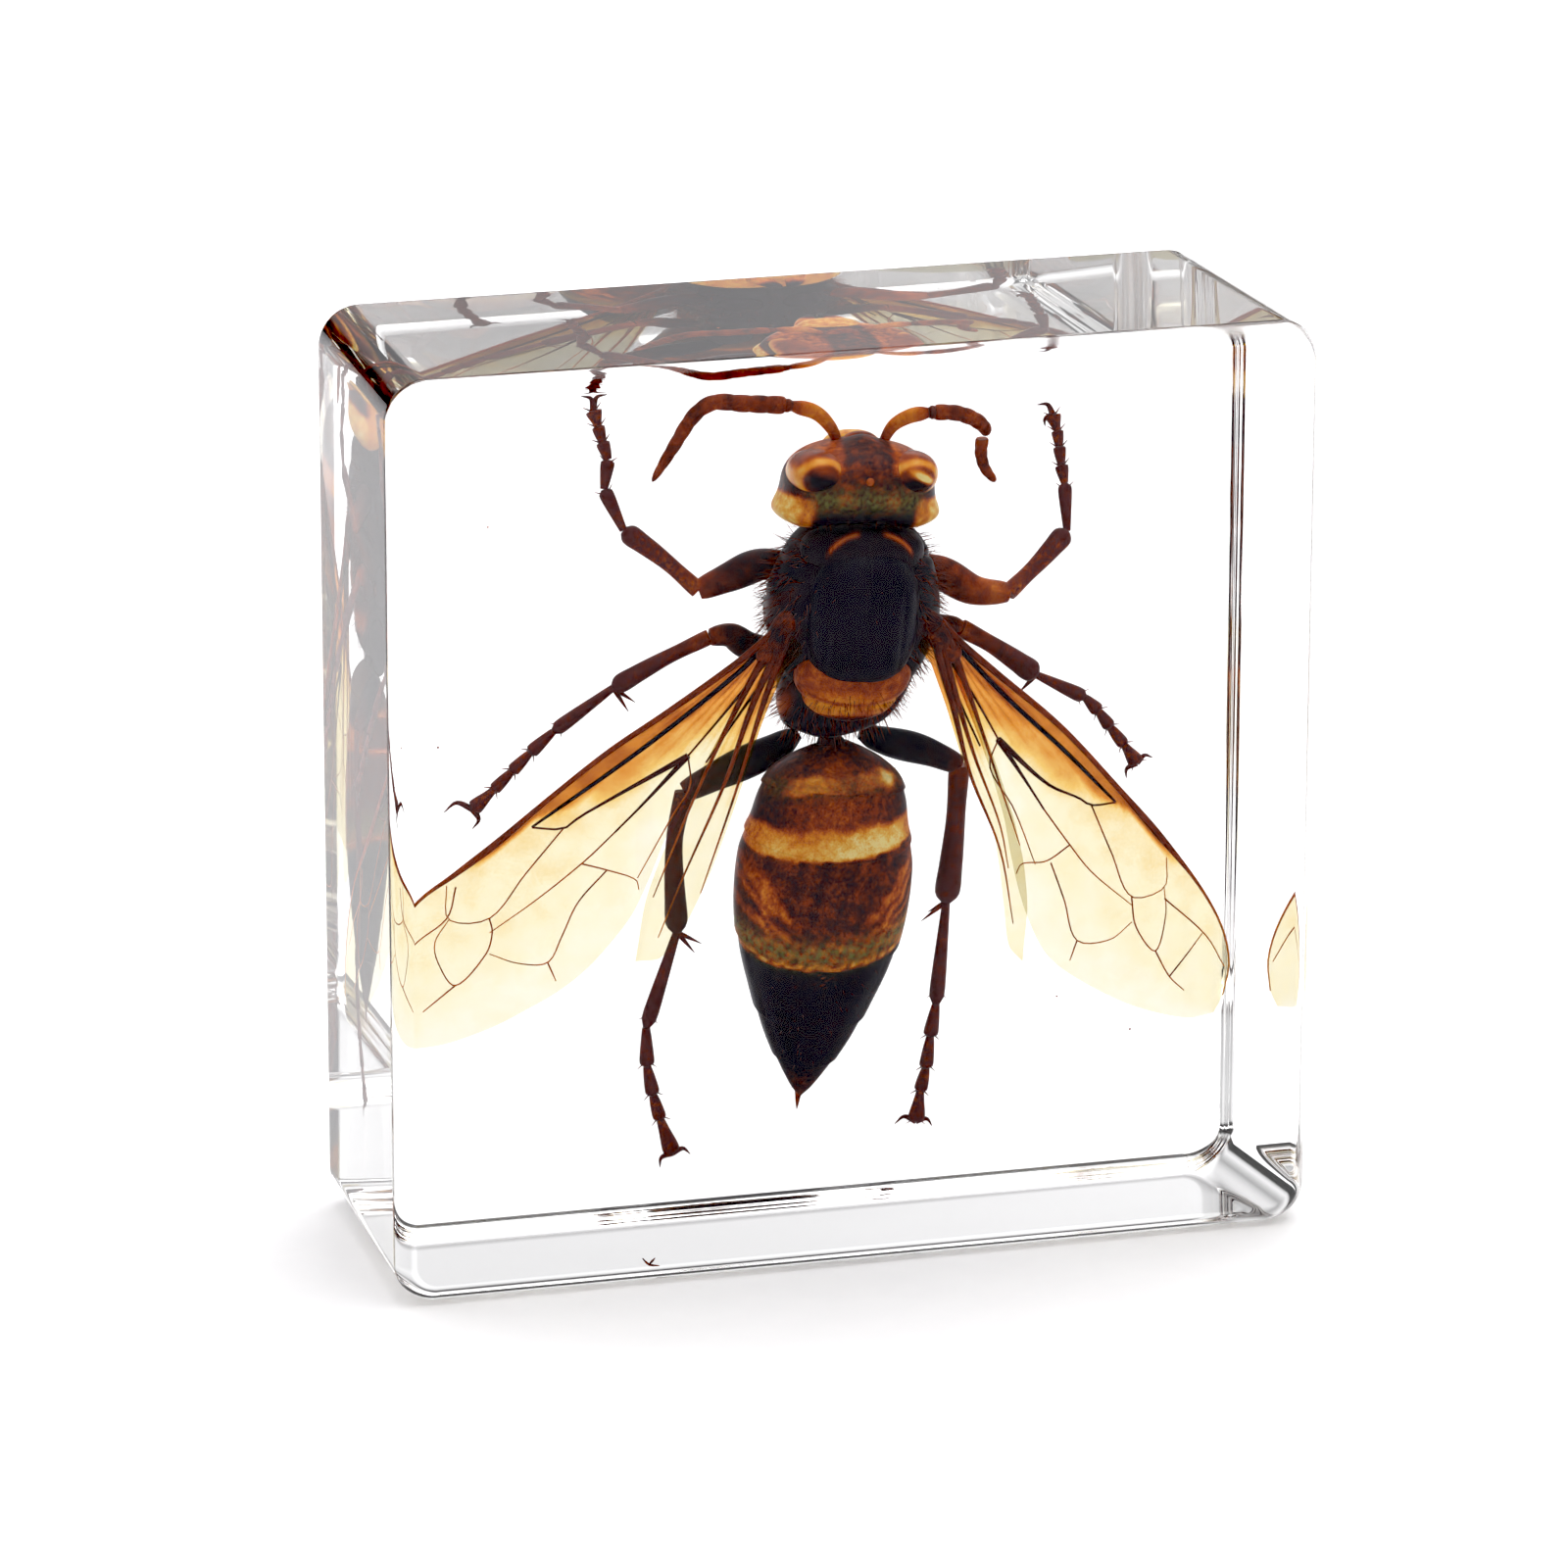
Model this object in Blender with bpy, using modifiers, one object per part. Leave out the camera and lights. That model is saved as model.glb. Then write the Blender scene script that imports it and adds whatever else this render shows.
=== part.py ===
"""A specimen block: one upright slab of clear cast resin, ground flat and polished.

The slab stands on its bottom face, its broad faces look along -Y (front) and +Y (back), and the
origin is the middle of the footprint. Its right wall leans in a little towards the back, as a
hand-ground block's does. The mounted insect is sealed inside the casting, so it has no surface that
a neighbour could touch, and the block is one closed solid.
"""

import math

import bpy

# ---------------------------------------------------------------- driving dimensions, in metres
BLOCK_WIDTH = 0.0360  # along X
BLOCK_HEIGHT = 0.0360  # along Z
BLOCK_DEPTH = 0.0125  # along Y, between the two broad faces
RIGHT_WALL_LEAN = 0.0010  # how much narrower the back face is than the front, all of it at +X
CORNER_RADIUS = 0.0016  # the four corners of the broad face, running from front to back
EDGE_RADIUS = 0.0008  # the polished round along the rim of each broad face

CORNER_STEPS = 10  # facets in each quarter turn of a corner
EDGE_STEPS = 5  # facets in each quarter turn of a rim

RESIN_COLOUR = (0.93, 0.94, 0.92, 1.0)
RESIN_ROUGHNESS = 0.03
RESIN_IOR = 1.50

# An edge sharper than this is a rim; the facets of a rounded corner meet at far less.
RIM_ANGLE = math.radians(60)
SMOOTH_ANGLE = math.radians(35)


def clear_scene():
    """Remove every object that the file starts with."""
    for obj in list(bpy.data.objects):
        bpy.data.objects.remove(obj, do_unlink=True)


def make_collection(name):
    """Return a new collection linked to the scene."""
    collection = bpy.data.collections.new(name)
    bpy.context.scene.collection.children.link(collection)
    return collection


def move_to_collection(obj, collection):
    """Keep the object in the given collection only."""
    for owner in list(obj.users_collection):
        owner.objects.unlink(obj)
    collection.objects.link(obj)


def resin_material():
    """Clear, faintly grey casting resin with a polished surface."""
    material = bpy.data.materials.new("clear_resin")
    material.use_nodes = True
    shader = material.node_tree.nodes["Principled BSDF"]
    shader.inputs["Base Color"].default_value = RESIN_COLOUR
    shader.inputs["Roughness"].default_value = RESIN_ROUGHNESS
    shader.inputs["Metallic"].default_value = 0.0
    shader.inputs["IOR"].default_value = RESIN_IOR
    shader.inputs["Transmission Weight"].default_value = 1.0
    return material


def mark_corner_edges(mesh):
    """Give full bevel weight to the four edges that run from front to back."""
    weights = mesh.attributes.new("bevel_weight_edge", "FLOAT", "EDGE")
    for edge in mesh.edges:
        start, end = (mesh.vertices[index].co for index in edge.vertices)
        runs_front_to_back = abs(start.y - end.y) > BLOCK_DEPTH / 2
        weights.data[edge.index].value = 1.0 if runs_front_to_back else 0.0


def lean_right_wall(mesh):
    """Lean the right wall in towards the back, keeping its full width just behind the front rim."""
    rim_y = EDGE_RADIUS - BLOCK_DEPTH / 2
    for vertex in mesh.vertices:
        if vertex.co.x > 0:
            vertex.co.x -= RIGHT_WALL_LEAN * (vertex.co.y - rim_y) / (BLOCK_DEPTH / 2 - rim_y)


def add_bevel(obj, name, width, segments):
    """Add a round bevel modifier and return it."""
    bevel = obj.modifiers.new(name, "BEVEL")
    bevel.width = width
    bevel.segments = segments
    bevel.use_clamp_overlap = True
    return bevel


def make_resin_block(collection):
    """The slab: a box with large front-to-back corners, then a small round on both rims."""
    bpy.ops.mesh.primitive_cube_add(size=1.0)
    block = bpy.context.object
    block.name = "resin_block"
    block.data.name = "resin_block"
    block.scale = (BLOCK_WIDTH, BLOCK_DEPTH, BLOCK_HEIGHT)
    block.location = (0.0, 0.0, BLOCK_HEIGHT / 2)
    bpy.ops.object.transform_apply(location=False, rotation=False, scale=True)

    lean_right_wall(block.data)
    mark_corner_edges(block.data)
    corners = add_bevel(block, "corners", CORNER_RADIUS, CORNER_STEPS)
    corners.limit_method = "WEIGHT"
    rims = add_bevel(block, "rims", EDGE_RADIUS, EDGE_STEPS)
    rims.limit_method = "ANGLE"
    rims.angle_limit = RIM_ANGLE

    block.data.shade_smooth()
    block.data.set_sharp_from_angle(angle=SMOOTH_ANGLE)
    block.data.materials.append(resin_material())
    move_to_collection(block, collection)
    return block


def main():
    """Build the specimen block."""
    clear_scene()
    make_resin_block(make_collection("specimen_block"))


main()
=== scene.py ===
"""A hornet cast in a clear resin block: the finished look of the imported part.

The block is one see-through casting. The hornet in it is built from its own sub-assemblies (head, antennae,
thorax, gaster, legs and wings), all placed in block millimetres: X to the right along the block's width, Y
from the front face (minus) to the back face (plus), Z up from the bottom face. The hornet's back faces the
front of the block and its head points up.
"""
import logging
import math
from dataclasses import dataclass, field
from enum import Enum
from typing import Callable, Dict, List, Sequence, Tuple

import bmesh
import bpy
from mathutils import Matrix, Vector


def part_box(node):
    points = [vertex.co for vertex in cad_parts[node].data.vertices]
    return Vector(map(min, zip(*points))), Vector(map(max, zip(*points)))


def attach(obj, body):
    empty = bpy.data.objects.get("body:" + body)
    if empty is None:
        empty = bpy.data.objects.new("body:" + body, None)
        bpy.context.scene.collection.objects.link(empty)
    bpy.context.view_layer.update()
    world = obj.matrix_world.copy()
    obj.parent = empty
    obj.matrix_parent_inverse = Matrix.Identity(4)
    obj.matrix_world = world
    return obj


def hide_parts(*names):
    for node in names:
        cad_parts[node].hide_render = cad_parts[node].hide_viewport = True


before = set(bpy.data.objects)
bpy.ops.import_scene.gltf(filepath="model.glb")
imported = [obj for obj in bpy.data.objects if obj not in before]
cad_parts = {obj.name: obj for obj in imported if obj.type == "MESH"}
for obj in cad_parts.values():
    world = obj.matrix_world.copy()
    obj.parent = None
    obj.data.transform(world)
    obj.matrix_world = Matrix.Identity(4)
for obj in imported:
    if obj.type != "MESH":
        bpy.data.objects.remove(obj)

LOG = logging.getLogger("insect_block")
MM = 0.001
BODY = "root"
BLOCK_NODE = "resin_block"
TONE = "tone"
GIRTH = "girth"
FUZZ = "fuzz"
MOSS = "moss"
WEAR = "wear"
SLANT_LIMIT = 0.42

Colour = Tuple[float, float, float]
Stops = Sequence[Tuple[float, Colour]]
Keys = Sequence[Tuple[float, float]]
Route = Sequence[Tuple[float, float, float]]
PaintRule = Callable[[Vector], float]
FormRule = Callable[[Vector], Vector]
WingPaint = Callable[[float, float, float], float]


class Side(Enum):
    """The two sides of the hornet, as the sign of X."""

    LEFT = -1
    RIGHT = 1

    @property
    def label(self) -> str:
        """The side's name in lower case, for naming a piece."""
        return self.name.lower()


class Slot(Enum):
    """The record's material slots."""

    RESIN = "clear_resin"
    DARK = "dark_cuticle"
    AMBER = "amber_cuticle"
    RED = "red_cuticle"
    WING = "wing_membrane"
    EYE = "eye"


# ---- Small rules for numbers and paths ----


def point(*place: float) -> Vector:
    """A point in millimetres, as the default of a dataclass field."""
    return field(default_factory=lambda: Vector(place))


def clamp(value: float, low: float = 0.0, high: float = 1.0) -> float:
    """Hold a value between two limits."""
    return max(low, min(high, value))


def ease(low: float, high: float, value: float) -> float:
    """Go smoothly from 0 at low to 1 at high."""
    part = clamp((value - low) / (high - low))
    return part * part * (3.0 - 2.0 * part)


def hump(value: float, centre: float, width: float) -> float:
    """A smooth bump of height 1 at its centre that fades over about its width."""
    return math.exp(-(((value - centre) / width) ** 2))


def mix(first: float, second: float, part: float) -> float:
    """Blend two values."""
    return first + (second - first) * part


def read_keys(keys: Keys, place: float) -> float:
    """Read a smooth curve through keyed values.

    Args:
        keys: Pairs of place and value, in rising order of place.
        place: Where to read the curve.

    Returns:
        The value there, held at the first and last key outside them.
    """
    if place <= keys[0][0]:
        return keys[0][1]
    if place >= keys[-1][0]:
        return keys[-1][1]
    index = 0
    while keys[index + 1][0] < place:
        index += 1
    (x0, y0), (x1, y1) = keys[index], keys[index + 1]
    before = keys[max(index - 1, 0)]
    after = keys[min(index + 2, len(keys) - 1)]
    slope0 = (y1 - before[1]) / (x1 - before[0])
    slope1 = (after[1] - y0) / (after[0] - x0)
    span = x1 - x0
    t = (place - x0) / span
    return ((2 * t ** 3 - 3 * t ** 2 + 1) * y0 + (t ** 3 - 2 * t ** 2 + t) * span * slope0
            + (3 * t ** 2 - 2 * t ** 3) * y1 + (t ** 3 - t ** 2) * span * slope1)


def smooth_route(route: Route, steps: int) -> List[Vector]:
    """Draw one smooth line through a few chosen points.

    Args:
        route: The points in block millimetres.
        steps: How many stretches the line is divided into.

    Returns:
        The line's steps + 1 points, evenly spread by the length between the chosen points.
    """
    lengths = [0.0]
    for start, end in zip(route, route[1:]):
        lengths.append(lengths[-1] + (Vector(end) - Vector(start)).length)
    axes = [[(length, spot[axis]) for length, spot in zip(lengths, route)] for axis in range(3)]
    places = [lengths[-1] * step / steps for step in range(steps + 1)]
    return [Vector([read_keys(keys, place) for keys in axes]) for place in places]


# ---- Mesh drafts ----


@dataclass
class Draft:
    """The points, faces and painted tones of a piece while it is shaped, in block millimetres."""

    points: List[Vector] = field(default_factory=list)
    faces: List[Tuple[int, ...]] = field(default_factory=list)
    tones: List[float] = field(default_factory=list)

    def add_form(self, detail: int, shape: FormRule, paint: PaintRule) -> None:
        """Add a closed rounded form, shaped from a ball without poles.

        Args:
            detail: How many cuts each edge of the starting cube gets.
            shape: Turns a direction of length 1 into a point of the form.
            paint: Gives the tone at a point.
        """
        ball = bmesh.new()
        bmesh.ops.create_cube(ball, size=2.0)
        bmesh.ops.subdivide_edges(ball, edges=ball.edges[:], cuts=detail, use_grid_fill=True)
        ball.verts.ensure_lookup_table()
        first = len(self.points)
        for vertex in ball.verts:
            direction = Vector([math.tan(part * math.pi / 4) for part in vertex.co]).normalized()
            place = shape(direction)
            self.points.append(place)
            self.tones.append(paint(place))
        for face in ball.faces:
            self.faces.append(tuple(first + vertex.index for vertex in face.verts))
        ball.free()

    def add_rings(self, rings: Sequence[Sequence[Vector]], paint: PaintRule) -> None:
        """Add a closed skin over a row of rings, with its first and last ring drawn to a point.

        Args:
            rings: The rings, each with the same number of points.
            paint: Gives the tone at a point.
        """
        first = len(self.points)
        around = len(rings[0])
        for ring in rings:
            self.points.extend(ring)
            self.tones.extend(paint(place) for place in ring)
        for row in range(len(rings) - 1):
            for column in range(around):
                a = first + row * around + column
                b = first + row * around + (column + 1) % around
                self.faces.append((a, b, b + around, a + around))
        for row, turn in ((0, -1), (len(rings) - 1, 1)):
            centre = sum(rings[row], Vector()) / around
            self.points.append(centre)
            self.tones.append(paint(centre))
            pole = len(self.points) - 1
            start = first + row * around
            for column in range(around):
                pair = (start + column, start + (column + 1) % around)
                self.faces.append((pair[::turn]) + (pole,))

    def add_sheet(self, rows: Sequence[Sequence[Vector]], tones: Sequence[Sequence[float]]) -> None:
        """Add an open sheet over a grid of points.

        Args:
            rows: The grid's rows of points.
            tones: The tone at each of those points.
        """
        first = len(self.points)
        across = len(rows[0])
        for row, row_tones in zip(rows, tones):
            self.points.extend(row)
            self.tones.extend(row_tones)
        for row in range(len(rows) - 1):
            for column in range(across - 1):
                a = first + row * across + column
                self.faces.append((a, a + 1, a + across + 1, a + across))

    def finish(self, name: str, material: bpy.types.Material) -> bpy.types.Object:
        """Turn the draft into an object with merged doubles and outward faces.

        Args:
            name: The piece's name.
            material: The material it wears.

        Returns:
            The new object, at the origin.
        """
        mesh = bpy.data.meshes.new(name)
        mesh.from_pydata([place * MM for place in self.points], [], self.faces)
        layer = mesh.attributes.new(TONE, "FLOAT", "POINT")
        layer.data.foreach_set("value", self.tones)
        shape = bmesh.new()
        shape.from_mesh(mesh)
        bmesh.ops.remove_doubles(shape, verts=shape.verts[:], dist=0.002 * MM)
        bmesh.ops.recalc_face_normals(shape, faces=shape.faces[:])
        shape.to_mesh(mesh)
        shape.free()
        return place_mesh(name, mesh, material)


def place_mesh(name: str, mesh: bpy.types.Mesh, material: bpy.types.Material) -> bpy.types.Object:
    """Put a mesh in the scene as a smooth piece with one material.

    Args:
        name: The piece's name.
        mesh: Its mesh.
        material: The material it wears.

    Returns:
        The new object, at the origin.
    """
    mesh.name = name
    mesh.materials.clear()
    mesh.materials.append(material)
    mesh.shade_smooth()
    piece = bpy.data.objects.new(name, mesh)
    bpy.context.scene.collection.objects.link(piece)
    return piece


def mark(piece: bpy.types.Object, layer_name: str, rule: PaintRule) -> None:
    """Keep one more number on a mesh by a rule on block millimetres, such as how thick its hair grows.

    Args:
        piece: The piece.
        layer_name: The name to keep it under.
        rule: Gives the number at a point.
    """
    mesh = piece.data
    layer = mesh.attributes.get(layer_name) or mesh.attributes.new(layer_name, "FLOAT", "POINT")
    layer.data.foreach_set("value", [rule(vertex.co / MM) for vertex in mesh.vertices])


def egg(centre: Vector, half: Vector, power: float = 2.0, turn: Matrix = Matrix.Identity(3)) -> FormRule:
    """Make the rule of an egg-like form.

    Args:
        centre: Its centre in block millimetres.
        half: Its half sizes.
        power: 2 for an ellipsoid, more for a boxier form.
        turn: How it is turned about its centre.

    Returns:
        A rule that turns a direction into a point of the form.
    """

    def shape(direction: Vector) -> Vector:
        """Place one direction on the form."""
        reach = sum(abs(part) ** power for part in direction) ** (-1.0 / power)
        return centre + turn @ Vector([part * reach * size for part, size in zip(direction, half)])

    return shape


def roll(degrees: float) -> Matrix:
    """A turn about the block's depth axis, clockwise as seen from the front when positive."""
    return Matrix.Rotation(math.radians(degrees), 3, "Y")


# ---- Geometry Nodes recipes ----


class NodeWriter:
    """A node tree of any kind, written node by node."""

    def __init__(self, tree: bpy.types.NodeTree) -> None:
        """Take the tree to write."""
        self.tree = tree

    def add(self, kind: str, inputs: Dict[str, object], **settings: object) -> bpy.types.Node:
        """Add a node.

        Args:
            kind: The node's type.
            inputs: What each named or numbered input gets, a socket or a value.
            settings: The node's own properties.

        Returns:
            The new node.
        """
        node = self.tree.nodes.new(kind)
        for key, value in settings.items():
            setattr(node, key, value)
        for key, value in inputs.items():
            socket = node.inputs[int(key[1:])] if key[0] == "#" else node.inputs[key]
            if isinstance(value, bpy.types.NodeSocket):
                self.tree.links.new(value, socket)
            else:
                socket.default_value = value
        return node

    def math(self, operation: str, first: object, second: object = 0.0) -> bpy.types.NodeSocket:
        """Add a sum, product or other step and give its result."""
        return self.add("ShaderNodeMath", {"#0": first, "#1": second}, operation=operation).outputs[0]

    def scale(self, value: bpy.types.NodeSocket, stops: Stops) -> bpy.types.NodeSocket:
        """Turn a value into colour along a scale of stops.

        Args:
            value: The value, from 0 to 1.
            stops: Pairs of value and colour.

        Returns:
            The colour.
        """
        ramp = self.add("ShaderNodeValToRGB", {"Fac": value})
        while len(ramp.color_ramp.elements) < len(stops):
            ramp.color_ramp.elements.new(1.0)
        for element, (place, colour) in zip(ramp.color_ramp.elements, stops):
            element.position = place
            element.color = (*colour, 1.0)
        return ramp.outputs["Color"]


class Recipe(NodeWriter):
    """A Geometry Nodes tree with named inputs."""

    def __init__(self, name: str) -> None:
        """Start a tree that takes and gives geometry.

        Args:
            name: Its name.
        """
        super().__init__(bpy.data.node_groups.new(name, "GeometryNodeTree"))
        sockets = self.tree.interface
        sockets.new_socket("Geometry", in_out="INPUT", socket_type="NodeSocketGeometry")
        sockets.new_socket("Geometry", in_out="OUTPUT", socket_type="NodeSocketGeometry")
        self.identifiers: Dict[str, str] = {}
        self.entry = self.tree.nodes.new("NodeGroupInput")
        self.exit = self.tree.nodes.new("NodeGroupOutput")
        self.shape = self.entry.outputs["Geometry"]

    def ask(self, name: str, kind: str) -> bpy.types.NodeSocket:
        """Add a named input.

        Args:
            name: The input's name.
            kind: Float, Int, Vector or Material.

        Returns:
            The socket that carries the input's value.
        """
        socket = self.tree.interface.new_socket(name, in_out="INPUT", socket_type="NodeSocket" + kind)
        self.identifiers[name] = socket.identifier
        return self.entry.outputs[name]

    def read(self, attribute: str) -> bpy.types.NodeSocket:
        """Read a number kept on the geometry."""
        node = self.add("GeometryNodeInputNamedAttribute", {"Name": attribute}, data_type="FLOAT")
        return node.outputs[0]

    def tube(self, lines: bpy.types.NodeSocket, girth: bpy.types.NodeSocket) -> bpy.types.NodeSocket:
        """Lay a closed round skin along lines, with the input Sides.

        Args:
            lines: The lines to follow.
            girth: The half thickness at each of their points.

        Returns:
            The skin.
        """
        sides = self.ask("Sides", "Int")
        ring = self.add("GeometryNodeCurvePrimitiveCircle", {"Resolution": sides, "Radius": 1.0}).outputs[0]
        return self.add("GeometryNodeCurveToMesh", {"Curve": lines, "Profile Curve": ring, "Scale": girth,
                                                    "Fill Caps": True}).outputs[0]

    def close(self, geometry: bpy.types.NodeSocket) -> None:
        """End the tree with real geometry that wears the material input.

        Args:
            geometry: What the tree has made.
        """
        real = self.add("GeometryNodeRealizeInstances", {"Geometry": geometry}).outputs[0]
        finish = self.ask("Finish", "Material")
        dressed = self.add("GeometryNodeSetMaterial", {"Geometry": real, "Material": finish})
        self.tree.links.new(dressed.outputs[0], self.exit.inputs[0])

    def make(self, name: str, base: bpy.types.Object, material: bpy.types.Material,
             sizes: Dict[str, object]) -> bpy.types.Object:
        """Run the tree on a base object and keep the result as a plain mesh.

        Args:
            name: The new piece's name.
            base: The object that the tree starts from.
            material: What the result wears.
            sizes: A value for each named input.

        Returns:
            The new piece; the modifier is gone from the base.
        """
        modifier = base.modifiers.new(self.tree.name, "NODES")
        modifier.node_group = self.tree
        modifier[self.identifiers["Finish"]] = material
        for key, value in sizes.items():
            modifier[self.identifiers[key]] = value
        base.update_tag()
        graph = bpy.context.evaluated_depsgraph_get()
        mesh = bpy.data.meshes.new_from_object(base.evaluated_get(graph), depsgraph=graph)
        base.modifiers.remove(modifier)
        return place_mesh(name, mesh, material)


def tube_recipe() -> Recipe:
    """Write the tree that lays a closed tube of changing girth along every line of a wire.

    Returns:
        The recipe, with the inputs Sides and Finish.
    """
    recipe = Recipe("tube_along_lines")
    lines = recipe.add("GeometryNodeMeshToCurve", {"Mesh": recipe.shape}).outputs[0]
    recipe.close(recipe.tube(lines, recipe.read(GIRTH)))
    return recipe


def ringed_recipe() -> Recipe:
    """Write the tree that makes a tapering tube of equal articles with a waist between each two.

    Returns:
        The recipe, with the inputs Articles, Steps, Base Radius, Tip Radius, Waist, Sides and Finish.
    """
    recipe = Recipe("ringed_tube")
    lines = recipe.add("GeometryNodeMeshToCurve", {"Mesh": recipe.shape}).outputs[0]
    articles = recipe.ask("Articles", "Float")
    count = recipe.math("MULTIPLY", articles, recipe.ask("Steps", "Float"))
    even = recipe.add("GeometryNodeResampleCurve", {"Curve": lines, "Count": count}).outputs[0]
    along = recipe.add("GeometryNodeSplineParameter", {}).outputs["Factor"]
    base = recipe.ask("Base Radius", "Float")
    taper = recipe.math("MULTIPLY", recipe.math("POWER", along, 1.6),
                        recipe.math("SUBTRACT", base, recipe.ask("Tip Radius", "Float")))
    phase = recipe.math("FRACT", recipe.math("MULTIPLY", along, articles))
    swell = recipe.math("SINE", recipe.math("MULTIPLY", phase, math.pi))
    waist = recipe.math("MULTIPLY", recipe.math("SUBTRACT", 1.0, recipe.math("POWER", swell, 0.4)),
                        recipe.ask("Waist", "Float"))
    blunt = recipe.math("POWER", recipe.math("SUBTRACT", 1.0, recipe.math("POWER", along, 12.0)), 0.5)
    stout = recipe.math("MULTIPLY", recipe.math("SUBTRACT", base, taper), recipe.math("SUBTRACT", 1.0, waist))
    radius = recipe.math("MULTIPLY", stout, blunt)
    recipe.close(recipe.tube(even, radius))
    return recipe


def spindle_recipe() -> Recipe:
    """Write the tree that turns a spine of keyed girths into the flattened, sheared rings of a gaster.

    Returns:
        The recipe, with the inputs Sides, Flatness, Spine Depth, Slant, Slant Start and Finish.
    """
    recipe = Recipe("ringed_spindle")
    lines = recipe.add("GeometryNodeMeshToCurve", {"Mesh": recipe.shape}).outputs[0]
    skin = recipe.tube(lines, recipe.read(GIRTH))
    place = recipe.add("GeometryNodeInputPosition", {}).outputs[0]
    parts = recipe.add("ShaderNodeSeparateXYZ", {"Vector": place})
    spine = recipe.ask("Spine Depth", "Float")
    off = recipe.math("MULTIPLY", recipe.math("SUBTRACT", parts.outputs["Y"], spine),
                      recipe.ask("Flatness", "Float"))
    depth = recipe.math("ADD", off, spine)
    start = recipe.ask("Slant Start", "Float")
    below = recipe.math("MAXIMUM", recipe.math("SUBTRACT", start, parts.outputs["Z"]), 0.0)
    slant = recipe.math("MINIMUM", recipe.math("MULTIPLY", below, recipe.ask("Slant", "Float")), SLANT_LIMIT)
    height = recipe.math("ADD", parts.outputs["Z"], recipe.math("MULTIPLY", off, slant))
    moved = recipe.add("ShaderNodeCombineXYZ", {"X": parts.outputs["X"], "Y": depth, "Z": height}).outputs[0]
    bent = recipe.add("GeometryNodeSetPosition", {"Geometry": skin, "Position": moved}).outputs[0]
    recipe.close(bent)
    return recipe


def hair_recipe() -> Recipe:
    """Write the tree that grows short leaning hairs where a skin is marked for them.

    Returns:
        The recipe, with the inputs Density, Length, Radius, Lean, Spread, Seed and Finish.
    """
    recipe = Recipe("hair_on_skin")
    seed = recipe.ask("Seed", "Int")
    density = recipe.math("MULTIPLY", recipe.read(FUZZ), recipe.ask("Density", "Float"))
    roots = recipe.add("GeometryNodeDistributePointsOnFaces",
                       {"Mesh": recipe.shape, "Density": density, "Seed": seed}, distribute_method="RANDOM")
    stray = recipe.add("FunctionNodeRandomValue", {"#0": (-1.0,) * 3, "#1": (1.0,) * 3, "Seed": seed},
                       data_type="FLOAT_VECTOR").outputs[0]
    spread = recipe.add("ShaderNodeVectorMath", {"#0": stray, "Scale": recipe.ask("Spread", "Float")},
                        operation="SCALE").outputs[0]
    lean = recipe.add("ShaderNodeVectorMath", {"#0": spread, "#1": recipe.ask("Lean", "Vector")},
                      operation="ADD").outputs[0]
    aim = recipe.add("ShaderNodeVectorMath", {"#0": lean, "#1": roots.outputs["Normal"]},
                     operation="ADD").outputs[0]
    turn = recipe.add("FunctionNodeAlignRotationToVector", {"Vector": aim}, axis="Z").outputs[0]
    hair = recipe.add("GeometryNodeMeshCone", {"Vertices": 3, "Radius Top": 0.0,
                                               "Radius Bottom": recipe.ask("Radius", "Float"),
                                               "Depth": recipe.ask("Length", "Float")}).outputs[0]
    size = recipe.add("FunctionNodeRandomValue", {"#2": 0.5, "#3": 1.2, "Seed": seed},
                      data_type="FLOAT").outputs[1]
    coat = recipe.add("GeometryNodeInstanceOnPoints", {"Points": roots.outputs["Points"], "Instance": hair,
                                                       "Rotation": turn, "Scale": size})
    recipe.close(coat.outputs[0])
    return recipe


def speck_recipe() -> Recipe:
    """Write the tree that puts a tiny ball of its own girth on every point.

    Returns:
        The recipe, with the inputs Roundness and Finish.
    """
    recipe = Recipe("specks_on_points")
    roundness = recipe.ask("Roundness", "Int")
    ball = recipe.add("GeometryNodeMeshIcoSphere", {"Radius": 1.0, "Subdivisions": roundness})
    grains = recipe.add("GeometryNodeInstanceOnPoints", {"Points": recipe.shape, "Instance": ball.outputs[0],
                                                         "Scale": recipe.read(GIRTH)})
    recipe.close(grains.outputs[0])
    return recipe


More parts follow.
